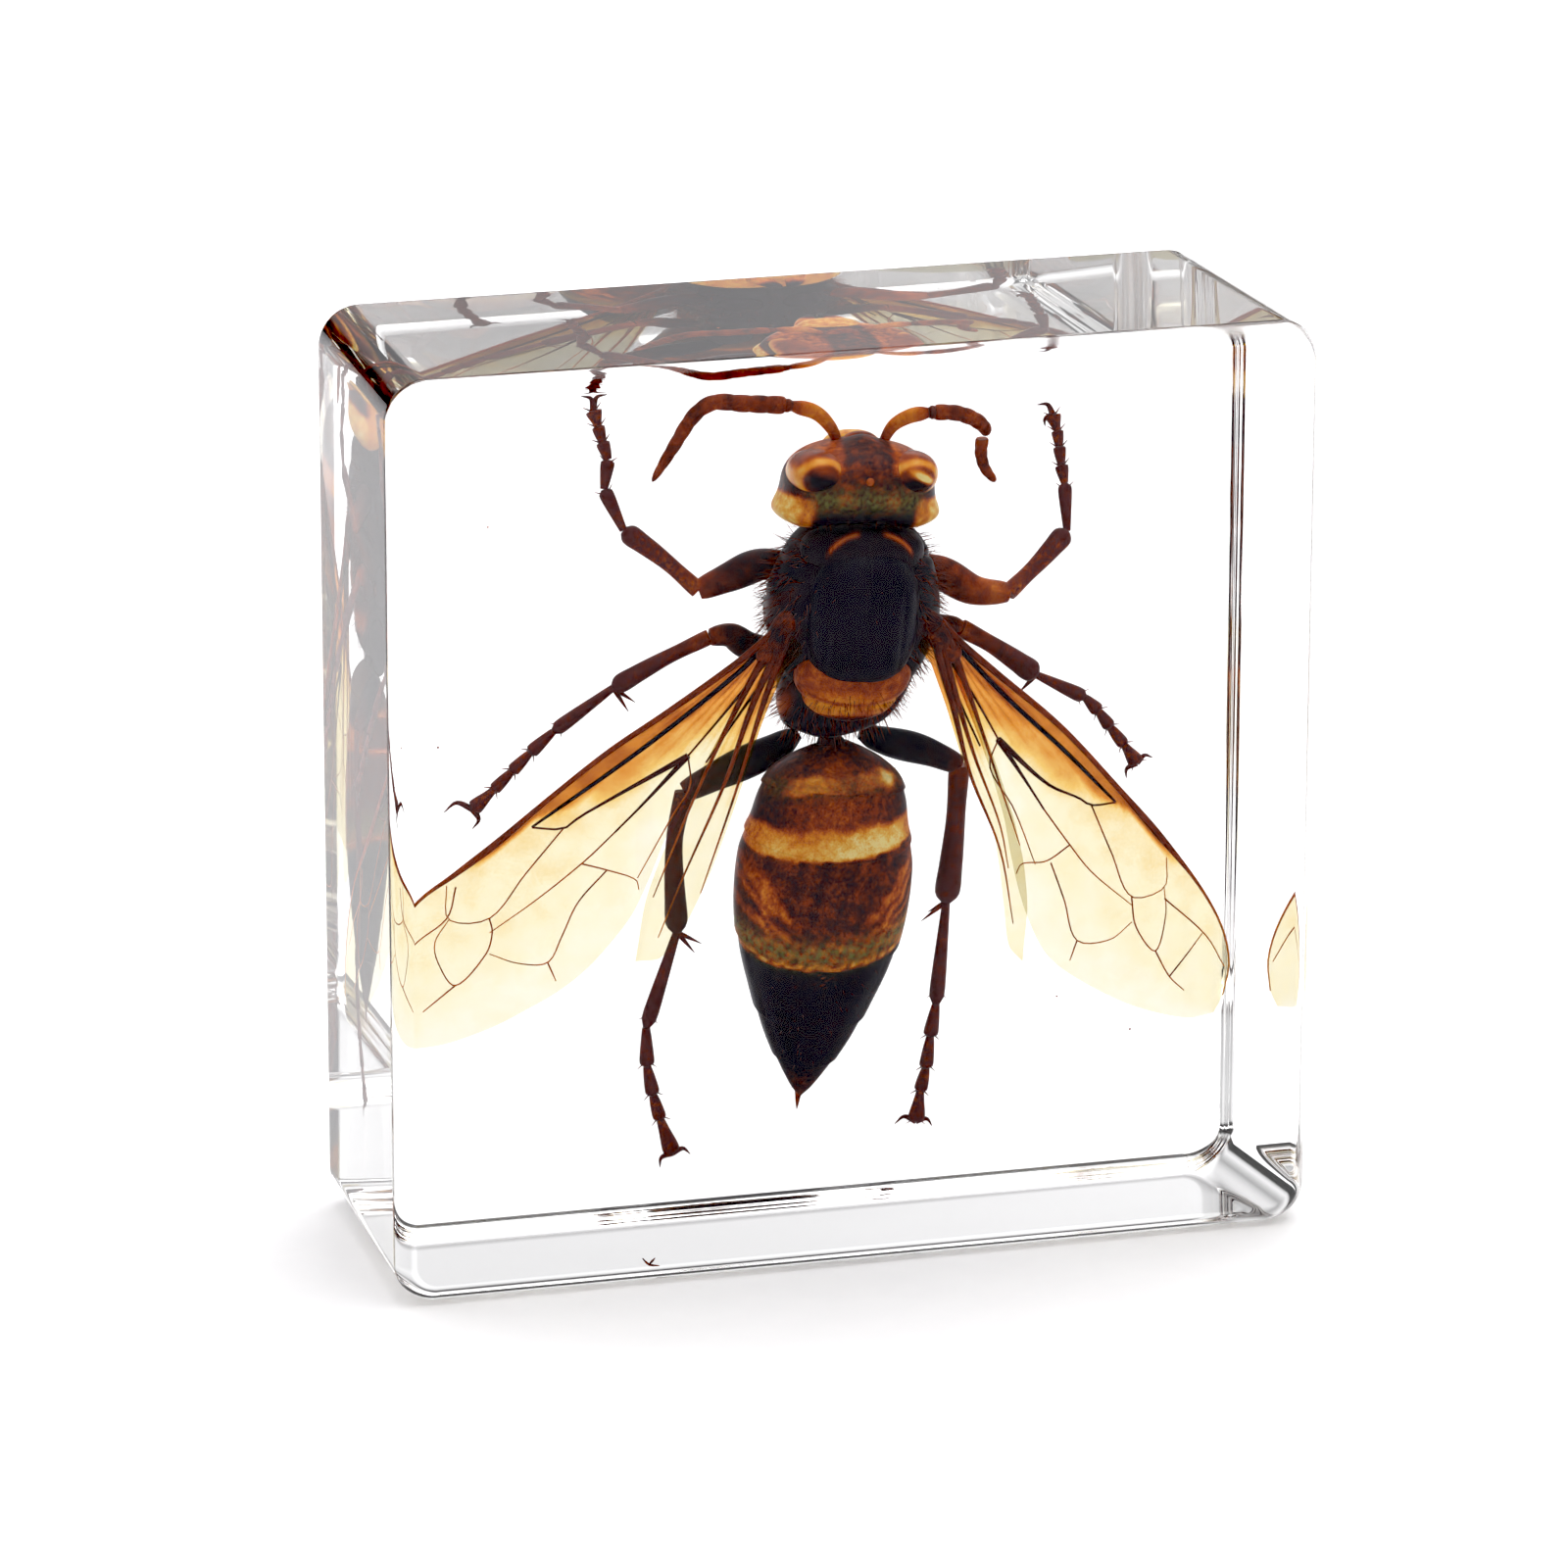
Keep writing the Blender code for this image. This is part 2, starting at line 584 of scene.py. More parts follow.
@dataclass
class Wires:
    """Separate lines of changing girth and tone, the base that the tube recipes start from."""

    points: List[Vector] = field(default_factory=list)
    edges: List[Tuple[int, int]] = field(default_factory=list)
    girths: List[float] = field(default_factory=list)
    tones: List[float] = field(default_factory=list)

    def add_line(self, route: Route, girth: Keys, tone: Keys, steps: int = 16) -> None:
        """Add one smooth line.

        Args:
            route: Its points in block millimetres.
            girth: Keys of half thickness in millimetres over the line, from 0 to 1.
            tone: Keys of tone over the line.
            steps: How many stretches the line is divided into.
        """
        first = len(self.points)
        for step, place in enumerate(smooth_route(route, steps)):
            part = step / steps
            self.points.append(place)
            self.girths.append(max(read_keys(girth, part), 0.004) * MM)
            self.tones.append(read_keys(tone, part))
        self.edges.extend((first + step, first + step + 1) for step in range(steps))

    def make(self, name: str, recipe: Recipe, material: bpy.types.Material,
             sizes: Dict[str, object]) -> bpy.types.Object:
        """Run a recipe on the lines.

        Args:
            name: The new piece's name.
            recipe: The tree to run.
            material: What the piece wears.
            sizes: A value for each of the recipe's inputs.

        Returns:
            The new piece.
        """
        mesh = bpy.data.meshes.new(name + "_lines")
        mesh.from_pydata([place * MM for place in self.points], self.edges, [])
        mesh.attributes.new(GIRTH, "FLOAT", "POINT").data.foreach_set("value", self.girths)
        mesh.attributes.new(TONE, "FLOAT", "POINT").data.foreach_set("value", self.tones)
        base = bpy.data.objects.new(name + "_lines", mesh)
        bpy.context.scene.collection.objects.link(base)
        piece = recipe.make(name, base, material, sizes)
        bpy.data.objects.remove(base)
        bpy.data.meshes.remove(mesh)
        return piece


# ---- Finishes ----

BLACK: Colour = (0.0030, 0.0028, 0.0130)
SOOT: Colour = (0.012, 0.006, 0.013)
MAROON: Colour = (0.075, 0.014, 0.009)
RED_BROWN: Colour = (0.270, 0.042, 0.010)
RUST: Colour = (0.560, 0.125, 0.016)
AMBER: Colour = (0.780, 0.290, 0.030)
GOLD: Colour = (0.880, 0.500, 0.095)
STRAW: Colour = (0.960, 0.760, 0.300)
OLIVE: Colour = (0.190, 0.175, 0.045)
PLUM: Colour = (0.110, 0.032, 0.034)
CUTICLE_SCALE: Stops = ((0.0, BLACK), (0.14, SOOT), (0.30, MAROON), (0.45, RED_BROWN), (0.60, RUST),
                        (0.74, AMBER), (0.87, GOLD), (1.0, STRAW))


class Shader(NodeWriter):
    """A material's node tree."""

    def __init__(self, name: str) -> None:
        """Start an empty material.

        Args:
            name: Its name.
        """
        self.material = bpy.data.materials.new(name)
        self.material.use_nodes = True
        super().__init__(self.material.node_tree)
        self.tree.nodes.clear()
        self.output = self.tree.nodes.new("ShaderNodeOutputMaterial")

    def noise(self, grain: float, detail: float = 3.0,
              stretch: Sequence[float] = (1.0, 1.0, 1.0)) -> bpy.types.NodeSocket:
        """Add a cloudy pattern.

        Args:
            grain: The size of its patches in millimetres.
            detail: How many finer layers it has.
            stretch: How many times finer it is along X, Y and Z.

        Returns:
            The socket of its value.
        """
        place = self.add("ShaderNodeTexCoord", {}).outputs["Object"]
        scaled = self.add("ShaderNodeMapping", {"Vector": place, "Scale": tuple(stretch)}).outputs[0]
        return self.add("ShaderNodeTexNoise", {"Vector": scaled, "Scale": 1.0 / (grain * MM),
                                               "Detail": detail}).outputs["Fac"]

    def swing(self, value: bpy.types.NodeSocket, middle: float, reach: float) -> bpy.types.NodeSocket:
        """Map a cloudy pattern's 0.3 to 0.7 onto a middle value plus or minus a reach.

        Args:
            value: The pattern.
            middle: The middle value.
            reach: How far the result goes to either side of it.

        Returns:
            The result.
        """
        node = self.add("ShaderNodeMapRange", {"Value": value, "From Min": 0.3, "From Max": 0.7,
                                               "To Min": middle - reach, "To Max": middle + reach})
        return node.outputs[0]

    def end(self, surface: bpy.types.NodeSocket) -> bpy.types.Material:
        """Join the surface to the output and give the material."""
        self.tree.links.new(surface, self.output.inputs["Surface"])
        return self.material


@dataclass(frozen=True)
class CuticleFinish:
    """Horny skin whose colour runs from black through red-brown and amber to straw by the painted tone."""

    name: str
    patch_size: float = 0.35
    patch_reach: float = 0.10
    grain_size: float = 0.06
    grain_depth: float = 0.012
    roughness: float = 0.42
    glow: float = 0.12
    stretch: Tuple[float, float, float] = (1.0, 1.0, 1.0)
    speckle_reach: float = 0.05
    cast: Colour = OLIVE

    def make(self) -> bpy.types.Material:
        """Build the material.

        Returns:
            The material.
        """
        shader = Shader(self.name)
        tone = shader.add("ShaderNodeAttribute", {}, attribute_name=TONE).outputs["Fac"]
        moss = shader.add("ShaderNodeAttribute", {}, attribute_name=MOSS).outputs["Fac"]
        patches = shader.swing(shader.noise(self.patch_size, 4.0, self.stretch), 0.0, self.patch_reach)
        fine = shader.noise(self.grain_size, 2.0)
        speckle = shader.swing(fine, 0.0, self.speckle_reach)
        shade = shader.math("ADD", shader.math("ADD", tone, patches), speckle)
        scale = shader.scale(shade, CUTICLE_SCALE)
        green = shader.math("MULTIPLY", moss, shader.swing(shader.noise(0.16, 3.0), 0.55, 0.55))
        colour = shader.add("ShaderNodeMix", {"#0": green, "#6": scale, "#7": (*self.cast, 1.0)},
                            data_type="RGBA").outputs[2]
        bump = shader.add("ShaderNodeBump", {"Height": fine, "Strength": 0.5,
                                             "Distance": self.grain_depth * MM})
        rough = shader.swing(patches, self.roughness, 0.08)
        skin = shader.add("ShaderNodeBsdfPrincipled", {
            "Base Color": colour, "Roughness": rough, "Normal": bump.outputs[0], "IOR": 1.45,
            "Specular IOR Level": 0.1, "Subsurface Weight": self.glow,
            "Subsurface Radius": (1.0, 0.35, 0.12), "Subsurface Scale": 0.35 * MM})
        return shader.end(skin.outputs[0])


@dataclass(frozen=True)
class MembraneFinish:
    """Thin wing skin: tinted and mostly see-through, orange at the front edge and straw to clear behind."""

    name: str
    body: float = 0.03
    stops: Stops = (
        (0.0, (0.740, 0.715, 0.590)), (0.22, (0.720, 0.660, 0.450)), (0.50, (0.660, 0.440, 0.125)),
        (0.72, (0.530, 0.205, 0.032)), (1.0, (0.210, 0.034, 0.010)))

    def make(self) -> bpy.types.Material:
        """Build the material.

        Returns:
            The material.
        """
        shader = Shader(self.name)
        tone = shader.add("ShaderNodeAttribute", {}, attribute_name=TONE).outputs["Fac"]
        cloud = shader.swing(shader.noise(1.1, 4.0), 0.0, 0.07)
        dust = shader.swing(shader.noise(0.10, 2.0), 0.0, 0.035)
        shade = shader.math("ADD", shader.math("ADD", tone, cloud), dust)
        tint = shader.scale(shade, self.stops)
        bump = shader.add("ShaderNodeBump", {"Height": shader.noise(0.22, 2.0), "Strength": 0.4,
                                             "Distance": 0.01 * MM})
        clear = shader.add("ShaderNodeBsdfTransparent", {"Color": tint}).outputs[0]
        film = shader.add("ShaderNodeBsdfPrincipled", {
            "Base Color": tint, "Roughness": 0.35, "Normal": bump.outputs[0], "IOR": 1.4}).outputs[0]
        joined = shader.add("ShaderNodeMixShader", {"Fac": self.body, "#1": clear, "#2": film})
        return shader.end(joined.outputs[0])


@dataclass(frozen=True)
class ResinFinish:
    """Clear polished casting resin, with the faintest waviness and wear in its polish."""

    name: str
    refraction: float = 1.5
    density: float = 1.6
    tint: Tuple[float, float, float, float] = (0.90, 0.93, 0.88, 1.0)
    rim_haze: float = 0.30

    def make(self) -> bpy.types.Material:
        """Build the material.

        Returns:
            The material.
        """
        shader = Shader(self.name)
        waves = shader.noise(7.0, 1.0)
        haze = shader.swing(shader.noise(2.5, 4.0), 0.012, 0.008)
        worn = shader.add("ShaderNodeAttribute", {}, attribute_name=WEAR).outputs["Fac"]
        haze = shader.math("ADD", haze, shader.math("MULTIPLY", worn, self.rim_haze))
        bump = shader.add("ShaderNodeBump", {"Height": waves, "Strength": 0.25, "Distance": 0.02 * MM})
        glass = shader.add("ShaderNodeBsdfPrincipled", {
            "Base Color": (1.0, 1.0, 1.0, 1.0), "Roughness": haze, "Normal": bump.outputs[0],
            "IOR": self.refraction, "Transmission Weight": 1.0})
        depth = shader.add("ShaderNodeVolumeAbsorption", {"Color": self.tint, "Density": self.density})
        shader.tree.links.new(depth.outputs[0], shader.output.inputs["Volume"])
        return shader.end(glass.outputs[0])


@dataclass(frozen=True)
class FloorFinish:
    """Matt white paper with a trace of tooth."""

    name: str
    white: float = 0.90

    def make(self) -> bpy.types.Material:
        """Build the material.

        Returns:
            The material.
        """
        shader = Shader(self.name)
        tooth = shader.noise(1.5, 3.0)
        low = (self.white - 0.006, self.white - 0.010, self.white - 0.004)
        high = (self.white + 0.006, self.white + 0.002, self.white + 0.006)
        colour = shader.scale(tooth, ((0.3, low), (0.7, high)))
        paper = shader.add("ShaderNodeBsdfPrincipled", {"Base Color": colour, "Roughness": 0.9,
                                                        "Specular IOR Level": 0.1})
        return shader.end(paper.outputs[0])


def ride(piece: bpy.types.Object, slot: Slot) -> bpy.types.Object:
    """Fix a piece in the block's body and report it.

    Args:
        piece: The piece.
        slot: The record's slot that it wears; not used.

    Returns:
        The same piece.
    """
    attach(piece, BODY)
    LOG.info("%s: %d faces", piece.name, len(piece.data.polygons))
    return piece


# ---- The block ----


@dataclass
class ResinBlock:
    """The clear casting: a rounded slab whose right wall leans in towards the back."""

    corner_radius: float = 1.6
    edge_radius: float = 0.8
    right_wall_lean: float = 1.0
    corner_steps: int = 20
    edge_steps: int = 10

    def build(self) -> bpy.types.Object:
        """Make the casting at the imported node's size and let it stand for that node.

        Returns:
            The casting.
        """
        low, high = (Vector(corner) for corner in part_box(BLOCK_NODE))
        size = high - low
        mesh = bpy.data.meshes.new("resin_casting")
        shape = bmesh.new()
        bmesh.ops.create_cube(shape, size=1.0)
        for vertex in shape.verts:
            vertex.co = Vector([part * length for part, length in zip(vertex.co, size)]) + (low + high) / 2
        self.lean_wall(shape, low, high)
        weight = shape.edges.layers.float.new("bevel_weight_edge")
        for edge in shape.edges:
            if abs(edge.verts[0].co.y - edge.verts[1].co.y) > size.y / 2:
                edge[weight] = 1.0
        shape.to_mesh(mesh)
        shape.free()
        casting = place_mesh("resin_casting", mesh, ResinFinish("clear_casting_resin").make())
        self.round_edges(casting)
        mark(casting, WEAR, self.wear)
        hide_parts(BLOCK_NODE)
        return ride(casting, Slot.RESIN)

    def lean_wall(self, shape: bmesh.types.BMesh, low: Vector, high: Vector) -> None:
        """Slope the right wall, pivoting at its front rim so that the block keeps its width.

        Args:
            shape: The square slab to change.
            low: Its lowest corner.
            high: Its highest corner.
        """
        rim = low.y + self.edge_radius * MM
        for vertex in shape.verts:
            if vertex.co.x > (low.x + high.x) / 2:
                vertex.co.x -= self.right_wall_lean * MM * (vertex.co.y - rim) / (high.y - rim)

    def wear(self, place: Vector) -> float:
        """Wear the upright right rim of the front face dull."""
        return hump(place.y, -5.85, 0.30) * ease(15.0, 17.0, place.x) if -6.22 < place.y < -5.48 else 0.0

    def round_edges(self, casting: bpy.types.Object) -> None:
        """Round the four corners and then all the rims, and keep the flat faces flat.

        Args:
            casting: The square casting.
        """
        corners = casting.modifiers.new("corners", "BEVEL")
        corners.limit_method = "WEIGHT"
        corners.width = self.corner_radius * MM
        corners.segments = self.corner_steps
        rims = casting.modifiers.new("rims", "BEVEL")
        rims.limit_method = "ANGLE"
        rims.angle_limit = math.radians(60.0)
        rims.width = self.edge_radius * MM
        rims.segments = self.edge_steps
        rims.harden_normals = True
        self.settle(casting)

    @staticmethod
    def settle(piece: bpy.types.Object) -> None:
        """Keep a piece as its modifiers show it.

        Args:
            piece: The piece.
        """
        graph = bpy.context.evaluated_depsgraph_get()
        mesh = bpy.data.meshes.new_from_object(piece.evaluated_get(graph), depsgraph=graph)
        old = piece.data
        piece.modifiers.clear()
        piece.data = mesh
        bpy.data.meshes.remove(old)
        mesh.name = piece.name


@dataclass
class Specks:
    """The few specks of dust caught in the casting, and the small bruise behind its lower front rim."""

    places: Route = ((-13.4, -0.5, 29.3), (12.1, 0.6, 7.0), (-3.8, 0.2, 34.2), (9.3, 1.5, 8.4),
                     (-15.2, 0.8, 20.6))
    girth: float = 0.05
    bruise: Tuple[Route, ...] = (((-8.45, -5.95, 1.05), (-8.20, -5.98, 0.78), (-7.80, -6.0, 0.70)),
                                 ((-8.20, -5.98, 0.78), (-7.95, -5.9, 1.0)))

    def crack(self) -> bpy.types.Object:
        """Make the bruise: a short forked crack.

        Returns:
            The piece.
        """
        wires = Wires()
        for stroke in self.bruise:
            wires.add_line(stroke, ((0.0, 0.02), (0.5, 0.05), (1.0, 0.015)), ((0.0, 0.3), (1.0, 0.4)), 6)
        return ride(wires.make("rim_bruise", tube_recipe(), CuticleFinish("bruise_shade", glow=0.0).make(),
                               {"Sides": 8}), Slot.DARK)

    def build(self) -> bpy.types.Object:
        """Make the specks as one piece.

        Returns:
            The piece.
        """
        wires = Wires()
        for index, place in enumerate(self.places):
            wires.points.append(Vector(place))
            wires.girths.append(self.girth * (0.7 + 0.15 * (index % 3)) * MM)
            wires.tones.append(0.5)
        finish = CuticleFinish("dust_specks", glow=0.0).make()
        return ride(wires.make("dust_specks", speck_recipe(), finish, {"Roundness": 2}), Slot.DARK)


# ---- The hornet's head ----


@dataclass
class Head:
    """The head capsule with its eyes, ocelli, face shield and jaws."""

    centre: Vector = point(1.0, 0.35, 29.68)
    half: Vector = point(2.95, 2.75, 1.80)
    turn: float = 4.6
    eye_centre: Vector = point(1.84, -0.72, 0.66)
    eye_half: Vector = point(1.06, 2.15, 0.90)

    def local(self, place: Vector) -> Vector:
        """Give a block point in the head's own frame: across, depth, forward."""
        return roll(-self.turn) @ (place - self.centre)

    def world(self, place: Vector) -> Vector:
        """Give a point of the head's own frame in the block."""
        return self.centre + roll(self.turn) @ place

    def capsule_form(self, direction: Vector) -> Vector:
        """Shape the capsule: boxy from above, hollow behind, bulging temples, flat face.

        Args:
            direction: A direction of length 1.

        Returns:
            The point of the capsule.
        """
        base = egg(Vector(), self.half, 2.5)(direction)
        side = abs(base.x) / self.half.x
        behind = ease(0.0, -1.3, base.z) if base.z < 0.0 else 0.0
        base.z += 0.42 * behind * (1.0 - ease(0.15, 0.75, side))
        base.x *= 1.0 + 0.20 * hump(base.z, -1.10, 0.62)
        base.x *= 1.0 - 0.30 * ease(0.5, 2.9, base.y)
        base.z += 0.28 * hump(base.x, 0.0, 0.75) * ease(0.4, 1.4, base.z) * hump(base.y, -0.3, 1.0)
        base.y += 0.12 * hump(base.x, 0.0, 0.14) * ease(-1.5, -2.6, base.y)
        return self.world(base)

    def capsule_tone(self, place: Vector) -> float:
        """Paint the capsule: gold temples, olive-brown crown, black hind rim, orange face.

        Args:
            place: A point in block millimetres.

        Returns:
            The tone there.
        """
        spot = self.local(place)
        side = abs(spot.x)
        tone = mix(0.30, 0.21, ease(0.5, -0.5, spot.z))
        tone += 0.05 * math.sin(5.0 * spot.x) * math.sin(4.3 * spot.z)
        tone = mix(tone, 0.52, hump(side, 0.90, 0.35) * hump(spot.z, -0.10, 0.30))
        rear = ease(-0.55, -0.90, spot.z) * (1.0 - ease(1.85, 2.25, side))
        tone = mix(tone, 0.05, rear)
        temple = ease(1.75, 2.25, side) * ease(0.0, -0.30, spot.z)
        tone = mix(tone, 0.86 - 0.22 * hump(side, 2.35, 0.22), temple)
        rim = ease(-1.5, -1.75, spot.z) * ease(1.9, 2.4, side)
        tone = mix(tone, 0.34, 0.8 * rim)
        tone = mix(tone, 0.52, ease(0.80, 1.15, side) * ease(0.70, 1.05, spot.z) * (1.0 - temple))
        tone = mix(tone, 0.34, hump(side, 0.45, 0.30) * hump(spot.z, 0.95, 0.5))
        face = ease(0.9, 1.9, spot.y)
        return mix(tone, 0.74, face)

    def capsule_moss(self, place: Vector) -> float:
        """Lay an olive cast over the crown between the eyes and the hind rim."""
        spot = self.local(place)
        return 0.8 * hump(spot.z, -0.12, 0.48) * (1.0 - ease(1.8, 2.6, abs(spot.x))) * ease(0.5, -0.5, spot.y)

    def capsule_fuzz(self, place: Vector) -> float:
        """Grow hair behind the crown and leave the temples smooth."""
        spot = self.local(place)
        return ease(-0.4, -1.4, spot.z) * (1.0 - ease(1.6, 2.0, abs(spot.x)))

    def eye_form(self, side: Side) -> FormRule:
        """Shape one eye: a long kidney, notched on its inner side.

        Args:
            side: Which eye.

        Returns:
            The rule of its form.
        """
        plain = egg(Vector(), self.eye_half, 2.15)

        def shape(direction: Vector) -> Vector:
            """Place one direction on the eye.

            Args:
                direction: A direction of length 1.

            Returns:
                The point.
            """
            spot = plain(direction)
            inner = ease(-0.1, -1.0, spot.x)
            spot.x += 0.42 * inner * hump(spot.y, 0.1, 0.55)
            spot.z -= 0.10 * spot.y
            return self.world(Vector((side.value * (spot.x + self.eye_centre.x), spot.y + self.eye_centre.y,
                                      spot.z + self.eye_centre.z)))

        return shape

    def eye_tone(self, place: Vector, side: Side) -> float:
        """Paint one eye: gold, with a dark kidney facing up, a painted glow of light in its thin gold rim,
        and a painted highlight, a bright wedge, on the right one.

        Args:
            place: A point in block millimetres.
            side: Which eye.

        Returns:
            The tone there.
        """
        spot = self.local(place)
        across = side.value * spot.x - self.eye_centre.x
        forward = spot.z - self.eye_centre.z
        slope = 0.35 * across
        reach = math.hypot(across / self.eye_half.x, forward / self.eye_half.z)
        inside = mix(0.46, 0.30, ease(0.3, -0.3, forward))
        kidney = hump(across, -0.10, 0.60) * hump(forward - slope, -0.14, 0.30)
        inside = mix(inside, 0.06, clamp(1.5 * kidney))
        if side is Side.RIGHT:
            # Painted highlight: a bright glint on the right eye only, painted as a straw wedge.
            glint_wedge = hump(across, 0.22, 0.42) * hump(forward + 0.45 * across, 0.26, 0.17)
            inside = mix(inside, 1.0, clamp(1.6 * glint_wedge))
        # Painted glow: the gold rim stands for light shining through the eye's thin edge.
        tone = mix(inside, 0.78, ease(0.60, 0.78, reach))
        tone = mix(tone, 0.42, 0.9 * ease(0.84, 0.98, reach) * ease(0.1, 0.6, forward))
        tone = mix(tone, 0.36, ease(0.82, 0.98, reach) * ease(-0.2, -0.5, forward))
        return mix(tone, 0.30, ease(0.4, 1.6, spot.y))

    def face_draft(self) -> Draft:
        """Shape the face shield, the jaws and the bump between the antennae.

        Returns:
            The draft.
        """
        draft = Draft()
        draft.add_form(12, self.lift(egg(Vector((0.0, 0.15, 1.50)), Vector((0.74, 0.62, 0.62)), 2.4)),
                       lambda place: 0.40)
        draft.add_form(14, self.lift(egg(Vector((0.0, 1.75, 0.95)), Vector((1.25, 1.05, 0.95)), 2.4)),
                       lambda place: 0.78)
        for side in Side:
            draft.add_form(12, self.lift(self.jaw_form(side)), self.jaw_tone)
        return draft

    def lift(self, rule: FormRule) -> FormRule:
        """Carry a rule of the head's own frame into the block."""
        return lambda direction: self.world(rule(direction))

    @staticmethod
    def jaw_form(side: Side) -> FormRule:
        """Shape one jaw: a stout hook that crosses under the face.

        Args:
            side: Which jaw.

        Returns:
            The rule of its form.
        """
        plain = egg(Vector(), Vector((0.55, 1.05, 0.50)), 2.6)

        def shape(direction: Vector) -> Vector:
            """Place one direction on the jaw.

            Args:
                direction: A direction of length 1.

            Returns:
                The point.
            """
            spot = plain(direction)
            reach = (spot.y + 1.05) / 2.1
            spot.x = spot.x * (1.0 - 0.45 * reach) - 0.62 * reach * reach
            return Vector((side.value * (spot.x + 0.82), spot.y + 2.75, spot.z * (1.0 - 0.35 * reach) + 0.72))

        return shape

    def jaw_tone(self, place: Vector) -> float:
        """Paint a jaw: amber with a dark cutting edge."""
        return mix(0.68, 0.12, ease(2.9, 3.5, self.local(place).y))

    def ocelli_draft(self) -> Draft:
        """Shape the three simple eyes on the crown.

        Returns:
            The draft.
        """
        draft = Draft()
        for across, forward in ((0.0, 0.62), (-0.40, 0.12), (0.40, 0.12)):
            centre = Vector((across, -2.62, forward))
            draft.add_form(5, self.lift(egg(centre, Vector((0.16, 0.12, 0.16)))), lambda place: 0.52)
        return draft

    def build(self) -> List[bpy.types.Object]:
        """Make and dress the head's pieces.

        Returns:
            The pieces.
        """
        skin = CuticleFinish("head_skin", patch_size=0.30, patch_reach=0.13, grain_depth=0.02,
                             glow=0.08).make()
        facets = CuticleFinish("eye_facets", patch_size=0.5, patch_reach=0.07, grain_size=0.05,
                               grain_depth=0.01, roughness=0.28, glow=0.12).make()
        capsule = Draft()
        capsule.add_form(46, self.capsule_form, self.capsule_tone)
        head = capsule.finish("head_capsule", skin)
        mark(head, FUZZ, self.capsule_fuzz)
        mark(head, MOSS, self.capsule_moss)
        pieces = [ride(head, Slot.AMBER)]
        for side in Side:
            eye = Draft()
            eye.add_form(34, self.eye_form(side), lambda place, side=side: self.eye_tone(place, side))
            pieces.append(ride(eye.finish("eye_" + side.label, facets), Slot.EYE))
        pieces.append(ride(self.face_draft().finish("face_and_jaws", skin), Slot.AMBER))
        pieces.append(ride(self.ocelli_draft().finish("ocelli", facets), Slot.EYE))
        return pieces


@dataclass
class Antenna:
    """One feeler: a long first article, a short joint and a ringed lash."""

    side: Side
    scape: Route
    lash: Route
    articles: int
    base_radius: float = 0.36
    tip_radius: float = 0.20
    broken_tip: Route = ()

    def lash_piece(self, name: str, route: Route, articles: int, radii: Tuple[float, float],
                   finish: bpy.types.Material) -> bpy.types.Object:
        """Make a ringed stretch of the lash.

        Args:
            name: The piece's name.
            route: Its course in block millimetres.
            articles: How many rings it has.
            radii: The half thickness at its start and end.
            finish: What it wears.

        Returns:
            The piece.
        """
        wires = Wires()
        wires.add_line(route, ((0.0, 0.3), (1.0, 0.3)), ((0.0, 0.5), (1.0, 0.5)), 40)
        sizes = {"Articles": float(articles), "Steps": 9.0, "Base Radius": radii[0] * MM,
                 "Tip Radius": radii[1] * MM, "Waist": 0.15, "Sides": 20}
        piece = wires.make(name, ringed_recipe(), finish, sizes)
        start = Vector(route[0])
        mark(piece, TONE, lambda place: 0.40 + 0.04 * math.sin(5.0 * (place - start).length))
        return piece

    def build(self) -> List[bpy.types.Object]:
        """Make and dress the feeler.

        Returns:
            The pieces.
        """
        finish = CuticleFinish("antenna_skin_" + self.side.label, patch_size=0.3, patch_reach=0.07,
                               roughness=0.5).make()
        wires = Wires()
        wires.add_line(self.scape, ((0.0, 0.16), (0.12, 0.20), (0.5, 0.27), (0.85, 0.29), (1.0, 0.20)),
                       ((0.0, 0.36), (0.25, 0.56), (0.7, 0.66), (1.0, 0.45)), 24)
        joint = (self.scape[-1], self.lash[0])
        wires.add_line(joint, ((0.0, 0.2), (0.5, 0.27), (1.0, 0.24)), ((0.0, 0.34), (1.0, 0.34)), 8)
        scape = wires.make("antenna_scape_" + self.side.label, tube_recipe(), finish, {"Sides": 20})
        lash = self.lash_piece("antenna_lash_" + self.side.label, self.lash, self.articles,
                               (self.base_radius, self.tip_radius), finish)
        pieces = [ride(scape, Slot.RED), ride(lash, Slot.RED)]
        if self.broken_tip:
            tip = self.lash_piece("antenna_broken_tip_" + self.side.label, self.broken_tip, 5, (0.27, 0.16),
                                  finish)
            pieces.append(ride(tip, Slot.RED))
        return pieces


# ---- The thorax ----


